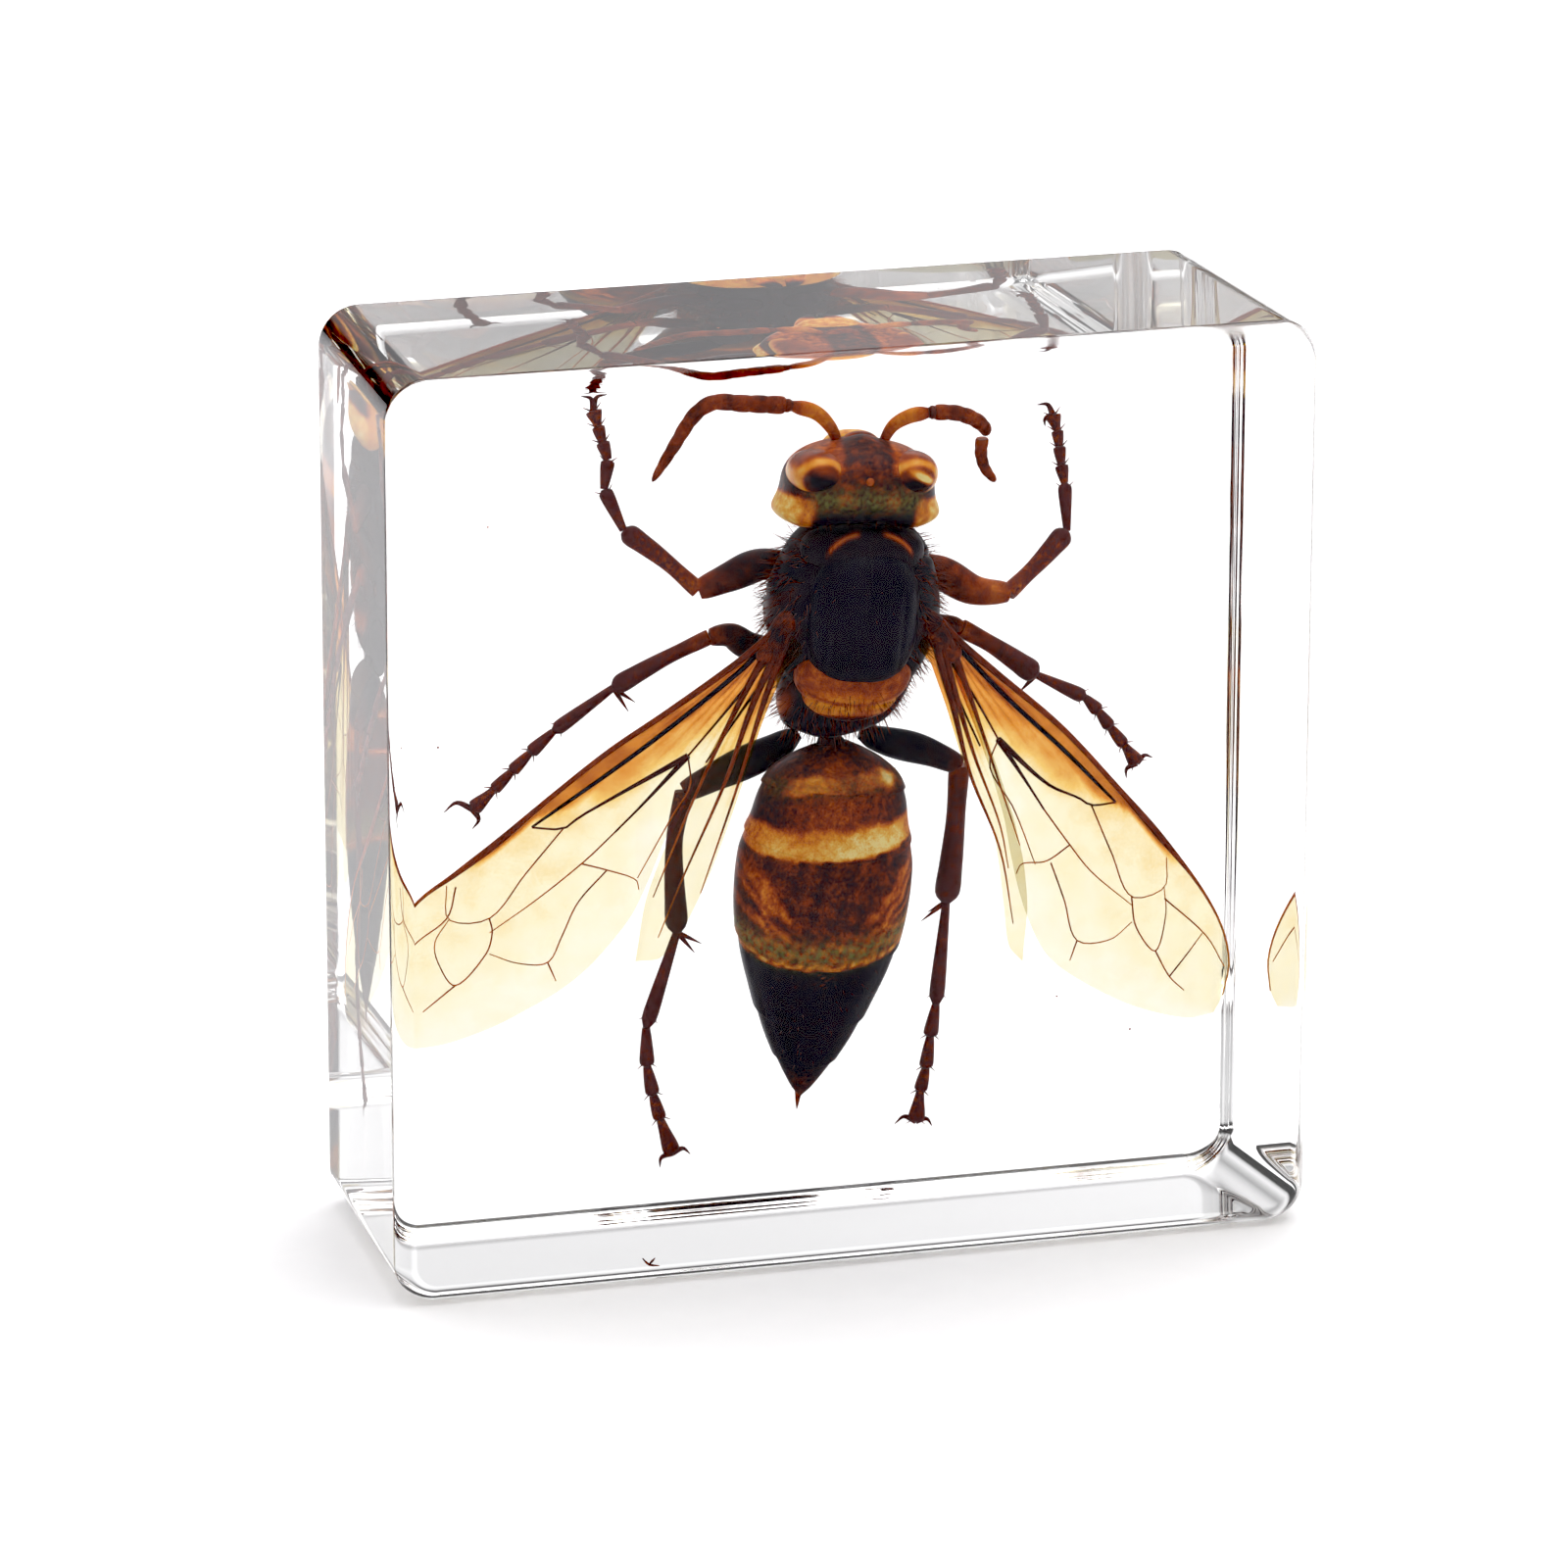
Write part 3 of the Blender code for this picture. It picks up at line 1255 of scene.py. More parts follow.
@dataclass
class Thorax:
    """The middle of the body: side walls, collar, back plate, shield plates and wing-root caps."""

    axis: Keys = ((20.0, -0.25), (20.6, 0.0), (21.6, 0.35), (23.0, 0.72), (25.0, 0.80), (27.0, 0.98),
                  (28.7, 1.05))
    half_width: Keys = ((20.0, 0.55), (20.25, 1.35), (20.7, 2.05), (21.5, 2.45), (22.4, 2.62), (23.4, 3.02),
                        (24.4, 3.36), (25.3, 3.38), (26.4, 3.12), (27.5, 2.66), (28.2, 2.05), (28.7, 1.1))
    back: Keys = ((20.0, 0.5), (20.6, 1.25), (21.6, 1.65), (23.0, 2.10), (25.0, 2.45), (27.0, 2.1),
                  (28.2, 1.4), (28.7, 0.7))
    belly: Keys = ((20.0, 0.4), (20.8, 1.6), (22.5, 2.9), (25.0, 3.3), (27.0, 2.7), (28.2, 1.5), (28.7, 0.6))
    core_depth: float = 0.2
    wall_power: float = 2.3
    turn: float = 4.7
    plate_centre: Vector = point(0.88, -1.15, 24.90)
    plate_half: Vector = point(2.24, 1.85, 2.80)

    def wall_rings(self, rows: int = 90, around: int = 96) -> List[List[Vector]]:
        """Lay the rings of the side walls from the waist to the neck.

        Args:
            rows: How many rings.
            around: How many points on each.

        Returns:
            The rings.
        """
        rings = []
        power = self.wall_power
        for row in range(rows + 1):
            height = mix(self.axis[0][0], self.axis[-1][0], row / rows)
            centre, width = read_keys(self.axis, height), read_keys(self.half_width, height)
            back, belly = read_keys(self.back, height), read_keys(self.belly, height)
            ring = []
            for column in range(around):
                angle = 2 * math.pi * column / around
                across, deep = math.cos(angle), math.sin(angle)
                reach = (abs(across) ** power + abs(deep) ** power) ** (-1 / power)
                seam = self.seams(height, across, deep)
                depth = self.core_depth + deep * reach * (belly if deep > 0 else back) * seam
                side = across * reach * width * seam
                drop = -math.tan(math.radians(self.turn)) * side
                ring.append(Vector((centre + side, depth, height + drop)))
            rings.append(ring)
        return rings

    @staticmethod
    def seams(height: float, across: float, deep: float) -> float:
        """Give how far a point of the side wall is drawn in by the seams between its plates.

        Args:
            height: The height in the block.
            across: The cosine of the place round the body.
            deep: Its sine, 1 at the belly.

        Returns:
            The share of the full width there.
        """
        flank = hump(abs(across), 0.85, 0.35)
        slanting = hump(height + 1.1 * deep, 25.6, 0.10) + hump(height - 0.8 * deep, 22.6, 0.10)
        collar = hump(height, 27.1, 0.12) * ease(0.4, -0.3, deep)
        middle = hump(across, 0.0, 0.05) * ease(0.2, 0.8, deep)
        return 1.0 - 0.035 * flank * slanting - 0.04 * collar - 0.05 * middle

    def wall_tone(self, place: Vector) -> float:
        """Paint the side walls: black with red-brown flanks and an amber edge on the left behind.

        Args:
            place: A point in block millimetres.

        Returns:
            The tone there.
        """
        side = place.x - read_keys(self.axis, place.z)
        flank = ease(1.9, 3.2, abs(side))
        tone = 0.10 + 0.18 * flank * ease(26.0, 24.4, place.z)
        tone += 0.10 * flank * math.sin(3.3 * place.z + 2.0 * place.y)
        amber = hump(place.z, 21.2, 0.8) * ease(1.8, 2.4, -side)
        tone = mix(tone, 0.62, clamp(amber))
        collar = ease(27.2, 27.8, place.z) * ease(0.5, -0.6, place.y)
        return mix(tone, 0.20, collar)

    def plate_form(self, direction: Vector) -> Vector:
        """Shape the big back plate: an egg with a fine keel line and a furrow on each side.

        Args:
            direction: A direction of length 1.

        Returns:
            The point of the plate.
        """
        spot = egg(Vector(), self.plate_half, 2.5)(direction)
        top = ease(0.3, 1.2, -spot.y)
        spot.y += top * (0.05 * hump(spot.x, 0.0, 0.07) * ease(-1.5, 0.5, spot.z)
                         + 0.06 * hump(abs(spot.x), 1.45, 0.10) * ease(1.8, 0.2, spot.z))
        return self.plate_centre + roll(self.turn) @ spot

    def collar_draft(self) -> Draft:
        """Shape the collar in front of the back plate, with the two thin orange arcs on it.

        Returns:
            The draft.
        """
        draft = Draft()
        centre = Vector((1.0, -0.55, 27.35))
        draft.add_form(26, egg(centre, Vector((2.45, 1.65, 1.15)), 2.3, roll(self.turn)), self.collar_tone)
        return draft

    def collar_tone(self, place: Vector) -> float:
        """Paint the collar: soot-black with an arc of rust.

        Args:
            place: A point in block millimetres.

        Returns:
            The tone there.
        """
        spot = roll(-self.turn) @ (place - Vector((0.95, 0.0, 25.16)))
        reach = (abs(spot.x / 2.1) ** 2.5 + abs(spot.z / 2.92) ** 2.5) ** 0.4
        arc = hump(reach, 1.04, 0.035) * ease(0.35, 0.60, abs(spot.x)) * (1.0 - ease(1.55, 1.80, abs(spot.x)))
        return mix(0.13, 0.60, clamp(arc))

    def shield_draft(self) -> Draft:
        """Shape the amber shield plate behind the back plate and the thinner plate after it.

        Returns:
            The draft.
        """
        draft = Draft()
        turn = roll(self.turn)
        draft.add_form(30, egg(Vector((0.60, -1.00, 22.60)), Vector((2.30, 1.32, 1.50)), 2.0, turn),
                       self.shield_tone)
        draft.add_form(26, egg(Vector((0.50, -0.72, 21.95)), Vector((2.00, 1.25, 1.28)), 2.0, turn),
                       self.shield_tone)
        return draft

    def shield_tone(self, place: Vector) -> float:
        """Paint the shield plates: amber, darker at both ends and along the seam between them.

        Args:
            place: A point in block millimetres.

        Returns:
            The tone there.
        """
        spot = roll(-self.turn) @ (place - Vector((0.58, 0.0, 22.6)))
        tone = 0.69 - 0.10 * hump(spot.x, 0.5, 0.5)
        tone = mix(tone, 0.40, ease(1.70, 2.15, abs(spot.x)))
        reach = math.hypot(spot.x / 2.25, spot.z / 1.15)
        tone = mix(tone, 0.48, hump(reach, 0.95, 0.06) * ease(0.0, -0.3, spot.z))
        tone = mix(tone, 0.48, ease(-0.95, -0.35, spot.z))
        return mix(tone, 0.22, ease(-1.45, -1.75, spot.z))

    def root_cap_draft(self) -> Draft:
        """Shape the two small caps over the wing roots.

        Returns:
            The draft.
        """
        draft = Draft()
        for side, spot in ((Side.LEFT, (-2.15, -1.15, 24.55)), (Side.RIGHT, (3.85, -1.15, 24.05))):
            centre = Vector(spot)
            turn = roll(side.value * -30.0)
            draft.add_form(14, egg(centre, Vector((0.50, 0.55, 0.95)), 2.2, turn),
                           lambda place: 0.27 + 0.08 * math.sin(4.0 * place.z + 2.0 * place.x))
            hinge = centre + Vector((side.value * 0.55, 0.05, -0.75))
            draft.add_form(10, egg(hinge, Vector((0.42, 0.40, 0.60)), 2.2, turn), lambda place: 0.36)
        return draft

    def hip_draft(self) -> Draft:
        """Shape the six hip joints on the underside.

        Returns:
            The draft.
        """
        draft = Draft()
        for height, half in ((26.3, 0.95), (23.5, 1.05), (20.9, 1.10)):
            for side in Side:
                centre = Vector((0.75 - 0.085 * (25.0 - height) + side.value * 1.15, 2.45, height))
                draft.add_form(14, egg(centre, Vector((0.95, 1.05, half)), 2.3), lambda place: 0.12)
        return draft

    def build(self) -> List[bpy.types.Object]:
        """Make and dress the thorax.

        Returns:
            The pieces.
        """
        black = CuticleFinish("thorax_skin", patch_size=0.5, patch_reach=0.03, grain_size=0.17,
                              grain_depth=0.003, glow=0.0, speckle_reach=0.008).make()
        amber = CuticleFinish("shield_skin", patch_size=0.3, patch_reach=0.08, grain_depth=0.015).make()
        walls = Draft()
        walls.add_rings(self.wall_rings(), self.wall_tone)
        wall = walls.finish("thorax_walls", black)
        mark(wall, FUZZ, self.wall_fuzz)
        plate = Draft()
        plate.add_form(44, self.plate_form, lambda place: 0.02)
        back = plate.finish("back_plate", black)
        mark(back, FUZZ, lambda place: 0.05)
        shield = self.shield_draft().finish("shield_plates", amber)
        mark(shield, FUZZ, lambda place: 0.9 * ease(22.3, 21.2, place.z))
        return [ride(wall, Slot.DARK), ride(back, Slot.DARK), ride(shield, Slot.AMBER),
                ride(self.collar_draft().finish("collar", black), Slot.DARK),
                ride(self.root_cap_draft().finish("wing_root_caps", amber), Slot.RED),
                ride(self.hip_draft().finish("hips", black), Slot.DARK)]

    def wall_fuzz(self, place: Vector) -> float:
        """Grow the thickest hair on the flanks and round the waist end."""
        side = abs(place.x - read_keys(self.axis, place.z))
        return 0.15 + 0.85 * ease(1.6, 3.0, side) + 0.4 * ease(22.0, 20.8, place.z)


# ---- The gaster ----


@dataclass
class Gaster:
    """The banded hind body: telescoped rings on one spine, its waist and its sting."""

    top: float = 19.75
    tip: float = 5.55
    girth: Keys = ((5.55, 0.10), (6.1, 0.55), (7.4, 1.33), (8.5, 1.92), (10.0, 2.55), (11.5, 3.1),
                   (13.2, 3.44), (15.0, 3.52), (15.9, 3.36), (16.6, 3.16), (17.7, 2.96), (18.5, 2.60),
                   (19.1, 1.90), (19.5, 1.15), (19.75, 0.5))
    hems: Tuple[float, ...] = (18.05, 16.12, 12.2, 9.3, 7.4)
    hem_step: float = 0.13
    spine_top: float = 0.14
    spine_lean: float = 0.105
    depth: float = 0.25
    flatness: float = 0.82
    slant: float = 0.12
    slant_start: float = 18.2

    def spine(self, height: float) -> float:
        """Give the spine's X at a height."""
        return self.spine_top - self.spine_lean * (18.5 - height)

    def ring_girth(self, height: float) -> float:
        """Give the half width at a height, with each ring's hem standing over the next ring.

        Args:
            height: The height along the spine.

        Returns:
            The half width.
        """
        half = read_keys(self.girth, height)
        for index, hem in enumerate(self.hems):
            start = self.top if index == 0 else self.hems[index - 1]
            if hem <= height < start:
                return half + self.hem_step * (0.25 + 0.75 * (start - height) / (start - hem)) - self.hem_step
        return half - self.hem_step * 0.6

    def spine_wires(self) -> Wires:
        """Lay the spine with a close pair of points at each hem.

        Returns:
            The line that the spindle recipe starts from.
        """
        heights = [mix(self.top, self.tip, step / 130) for step in range(131)]
        for hem in self.hems:
            heights += [hem + 0.03, hem + 0.001, hem - 0.02]
        heights = sorted(set(heights), reverse=True)
        wires = Wires()
        for index, height in enumerate(heights):
            wires.points.append(Vector((self.spine(height), self.depth, height)))
            wires.girths.append(max(self.ring_girth(height), 0.03) * MM)
            wires.tones.append(0.3)
            if index:
                wires.edges.append((index - 1, index))
        return wires

    def height_on_back(self, place: Vector) -> float:
        """Undo the hem slant, to give the height along the spine of a point on the skin.

        Args:
            place: A point in block millimetres.

        Returns:
            The height.
        """
        off = place.y - self.depth
        height = place.z
        for _ in range(4):
            slant = min(self.slant * max(self.slant_start - height, 0.0), SLANT_LIMIT)
            height = place.z - off * slant
        return height

    def tone(self, place: Vector) -> float:
        """Paint the rings: amber, gold and green-gold hems on red-brown, and a black end.

        Args:
            place: A point in block millimetres.

        Returns:
            The tone there.
        """
        height = self.height_on_back(place)
        side = place.x - self.spine(height)
        across = side / max(read_keys(self.girth, height), 0.3)
        level = height + 0.05 * math.sin(3.1 * side + 1.0) + 0.035 * math.sin(7.3 * side)
        tone = self.first_ring_tone(across, level)
        gold = ease(16.09, 16.19, height) * ease(16.98, 16.82, level)
        shine = 0.93 + 0.05 * ease(-0.3, 0.5, across) - 0.14 * ease(16.35, 16.95, level)
        shine -= 0.14 * hump(across, -0.45, 0.35)
        tone = mix(tone, mix(shine, 0.62, ease(0.74, 0.98, abs(across))), gold)
        if height < 16.09:
            tone = mix(self.third_ring_tone(side, across, level), 0.03, ease(12.20, 12.12, height))
            tone = mix(tone, 0.27, ease(7.8, 5.9, height))
            grit = clamp(2.4 * math.sin(17.0 * side + 2.0) * math.sin(21.0 * height) - 0.9)
            strewn = hump(side, -0.5, 0.75) * (hump(height, 11.75, 0.35) + 0.8 * hump(height, 9.85, 0.10))
            tone = mix(tone, 0.55, clamp(grit * strewn))
        belly = ease(0.6, 1.6, place.y - self.depth)
        pale = max(hump(height, hem + 0.12, 0.16) for hem in self.hems[:3])
        return mix(tone, mix(0.30, 0.62, pale) if height > 12.15 else 0.10, belly)

    @staticmethod
    def first_ring_tone(across: float, level: float) -> float:
        """Paint the first ring and the start of the second: red middle, dull amber band, yellow spot.

        Args:
            across: The place across, -1 to 1.
            level: The height, a little waved.

        Returns:
            The tone there.
        """
        tone = 0.30 + 0.20 * hump(across, -0.12, 0.30) * hump(level, 18.95, 0.30)
        band = ease(18.00, 18.15, level) * ease(18.85, 18.60, level) * (1.0 - ease(0.66, 0.86, abs(across)))
        dull = 0.56 + 0.12 * hump(across, -0.45, 0.25) - 0.12 * hump(across, 0.10, 0.18)
        tone = mix(tone, dull, band)
        tone = mix(tone, 1.0, clamp(1.6 * hump(across, 0.70, 0.085) * hump(level, 18.42, 0.20)))
        second = ease(18.05, 17.90, level)
        red = 0.34 + 0.12 * hump(across, -0.1, 0.5)
        tone = mix(tone, mix(red, 0.22, ease(0.55, 0.9, abs(across))), second)
        return mix(tone, 0.58, second * ease(17.12, 16.94, level))

    @staticmethod
    def third_ring_tone(side: float, across: float, level: float) -> float:
        """Paint the third ring: plum-brown with slanting flames at its sides and a speckled hem.

        Args:
            side: Millimetres from the spine.
            across: The place across, -1 to 1.
            level: The height, a little waved.

        Returns:
            The tone there.
        """
        body = 0.31 + 0.07 * math.sin(4.4 * side + 3.0 * level) * math.sin(5.0 * level - 1.7 * side)
        ragged = 0.12 * math.sin(6.0 * side + 4.0 * level)
        flank = hump(abs(across), 0.68, 0.24)
        flames = ((0.80, 14.75, 0.26, 1.9), (0.90, 14.05, 0.18, 1.9), (0.7, 13.5, 0.15, 1.4))
        for slope, centre, spread, gain in flames:
            flame = flank * hump(level - slope * (abs(side) - 2.4), centre + ragged, spread)
            body = mix(body, 0.63, clamp(gain * flame) * (0.82 + 0.18 * math.sin(9.0 * side)))
        top = 13.45 - 0.35 * across * across + 0.22 * math.sin(2.6 * side + 0.6)
        hem = ease(top + 0.25, top - 0.15, level)
        net = 0.46 + 0.20 * math.sin(8.0 * side + 3.0 * level) * math.sin(9.0 * level - 3.0 * side)
        tone = mix(body, net, hem)
        beads = 0.5 + 0.5 * math.sin(15.0 * side)
        return mix(tone, 0.86, (0.25 + 0.65 * beads) * hump(level, 12.36, 0.11))

    def moss(self, place: Vector) -> float:
        """Lay a green cast over the third ring's hem and a trace of it over the first band."""
        height = self.height_on_back(place)
        return 0.95 * hump(height, 12.85, 0.55) + 0.35 * hump(height, 18.35, 0.35)

    def build(self) -> List[bpy.types.Object]:
        """Make and dress the gaster.

        Returns:
            The pieces.
        """
        finish = CuticleFinish("gaster_skin", patch_size=0.26, patch_reach=0.09, grain_size=0.07,
                               grain_depth=0.015, glow=0.12, speckle_reach=0.07).make()
        sizes = {"Sides": 110, "Flatness": self.flatness, "Spine Depth": self.depth * MM,
                 "Slant": self.slant / MM, "Slant Start": self.slant_start * MM}
        rings = self.spine_wires().make("gaster_rings", spindle_recipe(), finish, sizes)
        mark(rings, TONE, self.tone)
        mark(rings, MOSS, self.moss)
        mark(rings, FUZZ, lambda place: 0.15 + 0.5 * ease(12.0, 8.0, place.z))
        stalk = Wires()
        stalk.add_line(((0.0, 0.1, 20.55), (-0.08, 0.2, 20.1), (-0.03, 0.25, 19.6)),
                       ((0.0, 0.62), (0.35, 0.40), (0.6, 0.42), (1.0, 0.62)), ((0.0, 0.1), (1.0, 0.22)), 14)
        stalk.add_line(((-1.22, 0.25, 6.1), (-1.27, 0.3, 5.55), (-1.31, 0.34, 5.0)),
                       ((0.0, 0.22), (0.4, 0.13), (0.75, 0.07), (1.0, 0.01)), ((0.0, 0.34), (1.0, 0.42)), 14)
        waist = stalk.make("waist_and_sting", tube_recipe(), finish, {"Sides": 24})
        return [ride(rings, Slot.AMBER), ride(waist, Slot.DARK)]


# ---- Legs ----


class LegPair(Enum):
    """The three pairs of legs."""

    FORE = "fore"
    MIDDLE = "middle"
    HIND = "hind"


@dataclass
class Leg:
    """One leg from its hip to its two claws."""

    pair: LegPair
    side: Side
    hip: Tuple[float, float, float]
    thigh: Route
    shin: Route
    foot: Route
    claws: Route
    thigh_girth: float
    shin_girth: float
    foot_girth: float
    spur: Route = ()
    thigh_tone: float = 0.24
    shin_tone: float = 0.36
    foot_tone: float = 0.33

    def add_limbs(self, wires: Wires) -> None:
        """Lay the ring joint, the thigh and the shin.

        Args:
            wires: The lines to add to.
        """
        start = Vector(self.thigh[0])
        wires.add_line((self.hip, tuple(start.lerp(Vector(self.hip), 0.2))),
                       ((0.0, 0.25), (0.5, 0.42), (1.0, 0.22)), ((0.0, 0.15), (1.0, 0.22)), 8)
        thick = self.thigh_girth
        wires.add_line(self.thigh, ((0.0, 0.35 * thick), (0.12, 0.75 * thick), (0.45, thick),
                                    (0.8, 0.80 * thick), (0.93, 0.70 * thick), (1.0, 0.58 * thick)),
                       ((0.0, self.thigh_tone - 0.10), (0.6, self.thigh_tone), (0.92, self.thigh_tone + 0.14),
                        (1.0, 0.5)), 26)
        thin = self.shin_girth
        wires.add_line(self.shin, ((0.0, 0.86 * thin), (0.06, 0.88 * thin), (0.35, 0.80 * thin), (0.75, thin),
                                   (0.94, 1.02 * thin), (1.0, 0.45 * thin)),
                       ((0.0, 0.48), (0.12, self.shin_tone + 0.06), (0.6, self.shin_tone), (1.0, 0.28)), 28)

    def add_foot(self, wires: Wires) -> None:
        """Lay the five foot joints, each flaring to its far end, with the claws and the spurs.

        Args:
            wires: The lines to add to.
        """
        girth = self.foot_girth
        joints = list(zip(self.foot, self.foot[1:]))
        for index, (start, end) in enumerate(joints):
            last = index == len(joints) - 1
            swell = 1.25 * girth if last else girth * (1.15 - 0.05 * index)
            tone = self.foot_tone + 0.02 * index
            wires.add_line((start, end), ((0.0, 0.60 * girth), (0.3, 0.82 * girth), (0.80, swell),
                                          (0.94, 0.92 * swell), (1.0, 0.50 * girth)),
                           ((0.0, tone + 0.06), (0.8, tone), (1.0, tone - 0.06)), 12)
            self.add_spines(wires, Vector(start), Vector(end), girth, tone)
        wrist = Vector(self.foot[-1])
        for claw in self.claws:
            reach = Vector(claw) - wrist
            bow = wrist + reach * 0.55 + Vector((reach.z, 0.0, -reach.x)) * (0.30 if reach.x < 0 else -0.30)
            wires.add_line((tuple(wrist), tuple(bow), claw), ((0.0, 0.13), (0.4, 0.10), (1.0, 0.015)),
                           ((0.0, 0.40), (1.0, 0.22)), 10)
        if self.spur:
            ankle = Vector(self.shin[-1])
            for shift in (0.0, 0.28):
                end = Vector(self.spur[0]) + Vector((shift, 0.25 * shift, 1.2 * shift))
                wires.add_line((tuple(ankle), tuple(end)), ((0.0, 0.10), (0.4, 0.085), (1.0, 0.012)),
                               ((0.0, 0.44), (1.0, 0.36)), 8)

    @staticmethod
    def add_spines(wires: Wires, start: Vector, end: Vector, girth: float, tone: float) -> None:
        """Lay the two little spines that stand out at the far end of a foot joint.

        Args:
            wires: The lines to add to.
            start: The joint's near end.
            end: Its far end.
            girth: Its half thickness.
            tone: Its tone.
        """
        along = (end - start).normalized()
        out = along.cross(Vector((0.0, 1.0, 0.0))).normalized()
        for sign in (-1.0, 1.0):
            root = start.lerp(end, 0.86)
            tip = root + along * 0.30 + out * sign * (girth + 0.12)
            wires.add_line((tuple(root), tuple(tip)), ((0.0, 0.05), (1.0, 0.010)),
                           ((0.0, tone), (1.0, tone)), 4)

    def build(self) -> List[bpy.types.Object]:
        """Make and dress the leg.

        Returns:
            The pieces.
        """
        name = "leg_{}_{}".format(self.pair.value, self.side.label)
        finish = CuticleFinish(name + "_skin", patch_size=0.5, patch_reach=0.09, grain_size=0.06,
                               roughness=0.45, glow=0.12, cast=PLUM).make()
        wires = Wires()
        self.add_limbs(wires)
        self.add_foot(wires)
        leg = wires.make(name, tube_recipe(), finish, {"Sides": 18})
        hip = Vector(self.hip)
        mark(leg, FUZZ, lambda place: ease(2.0, 5.0, (place - hip).length))
        mark(leg, MOSS, lambda place: 1.3 * ease(3.0, 6.5, (place - hip).length))
        return [ride(leg, Slot.RED)]


def six_legs() -> List[Leg]:
    """Place the six legs.

    Returns:
        The legs, fore to hind, left then right.
    """
    return [
        Leg(LegPair.FORE, Side.LEFT, (-0.4, 2.3, 26.4),
            ((-1.3, 1.9, 26.6), (-2.6, 1.8, 26.6), (-3.7, 1.9, 26.2), (-4.9, 2.0, 25.75)),
            ((-4.9, 2.0, 25.75), (-6.2, 2.3, 27.0), (-7.7, 2.6, 28.2)),
            ((-7.7, 2.6, 28.2), (-8.4, 2.9, 29.8), (-8.2, 3.1, 30.9), (-8.4, 3.25, 31.6), (-8.55, 3.35, 32.2),
             (-8.7, 3.5, 32.8)),
            ((-9.15, 3.6, 33.35), (-8.15, 3.6, 33.35)), 0.66, 0.38, 0.25, shin_tone=0.44),
        Leg(LegPair.FORE, Side.RIGHT, (2.6, 2.2, 25.9),
            ((3.1, 2.0, 26.2), (4.5, 1.85, 25.8), (5.9, 1.95, 24.95), (7.3, 2.1, 24.7)),
            ((7.3, 2.1, 24.7), (8.6, 2.6, 25.7), (9.8, 3.0, 26.8)),
            ((9.8, 3.0, 26.8), (9.8, 3.6, 28.6), (9.7, 3.8, 29.3), (9.65, 4.0, 30.0), (9.6, 4.2, 30.6),
             (9.45, 4.35, 31.2)),
            ((8.85, 4.5, 31.6), (9.15, 4.4, 30.75)), 0.66, 0.40, 0.24, thigh_tone=0.42, shin_tone=0.44),
        Leg(LegPair.MIDDLE, Side.LEFT, (-0.6, 2.6, 23.3),
            ((-1.9, 2.5, 23.2), (-2.9, 2.4, 23.35), (-3.6, 2.4, 23.8), (-4.4, 2.4, 23.8)),
            ((-4.4, 2.4, 23.8), (-6.2, 2.6, 23.0), (-8.1, 2.8, 22.0)),
            ((-8.1, 2.8, 22.0), (-10.4, 3.05, 20.4), (-11.3, 3.15, 19.6), (-12.0, 3.25, 18.9),
             (-12.7, 3.35, 18.2), (-13.5, 3.4, 17.5)),
            ((-14.6, 3.5, 17.45), (-13.5, 3.5, 16.7)), 0.55, 0.36, 0.25, ((-7.5, 2.8, 21.0),)),
        Leg(LegPair.MIDDLE, Side.RIGHT, (2.3, 2.6, 23.2),
            ((3.0, 2.5, 23.2), (4.0, 2.3, 23.5), (5.0, 2.3, 23.55), (5.5, 2.3, 23.4)),
            ((5.5, 2.3, 23.4), (6.9, 2.5, 22.5), (8.6, 2.8, 21.2)),
            ((8.6, 2.8, 21.2), (10.6, 3.0, 20.1), (11.15, 3.1, 19.5), (11.65, 3.2, 18.8), (12.25, 3.3, 18.0),
             (12.8, 3.4, 17.2)),
            ((13.45, 3.5, 17.35), (12.4, 3.5, 16.6)), 0.50, 0.42, 0.25, ((7.9, 2.9, 20.5),)),
        Leg(LegPair.HIND, Side.LEFT, (-0.35, 2.5, 20.4),
            ((-0.9, 2.4, 19.7), (-2.0, 2.4, 19.1), (-3.8, 2.4, 18.4), (-5.4, 2.5, 17.7)),
            ((-5.4, 2.5, 17.7), (-5.75, 2.7, 15.6), (-5.6, 3.0, 12.0)),
            ((-5.6, 3.0, 12.0), (-6.8, 3.2, 8.2), (-6.75, 3.3, 6.6), (-6.5, 3.4, 5.4), (-6.2, 3.5, 4.35),
             (-5.7, 3.6, 2.9)),
            ((-6.2, 3.65, 2.35), (-5.0, 3.6, 2.8)), 0.68, 0.42, 0.27, ((-4.9, 3.0, 11.1),), 0.14, 0.34),
        Leg(LegPair.HIND, Side.RIGHT, (1.5, 2.5, 20.3),
            ((1.5, 2.4, 19.5), (2.6, 2.4, 19.1), (4.1, 2.4, 18.6), (5.5, 2.5, 17.9)),
            ((5.5, 2.5, 17.9), (5.35, 2.7, 15.1), (5.1, 3.0, 12.3)),
            ((5.1, 3.0, 12.3), (4.75, 3.2, 8.1), (4.55, 3.3, 6.8), (4.4, 3.4, 5.5), (4.2, 3.5, 4.55),
             (4.05, 3.6, 3.3)),
            ((3.2, 3.65, 3.25), (4.7, 3.6, 3.05)), 0.62, 0.48, 0.27, ((4.1, 3.0, 11.6),), 0.08, 0.34),
    ]


# ---- Wings ----


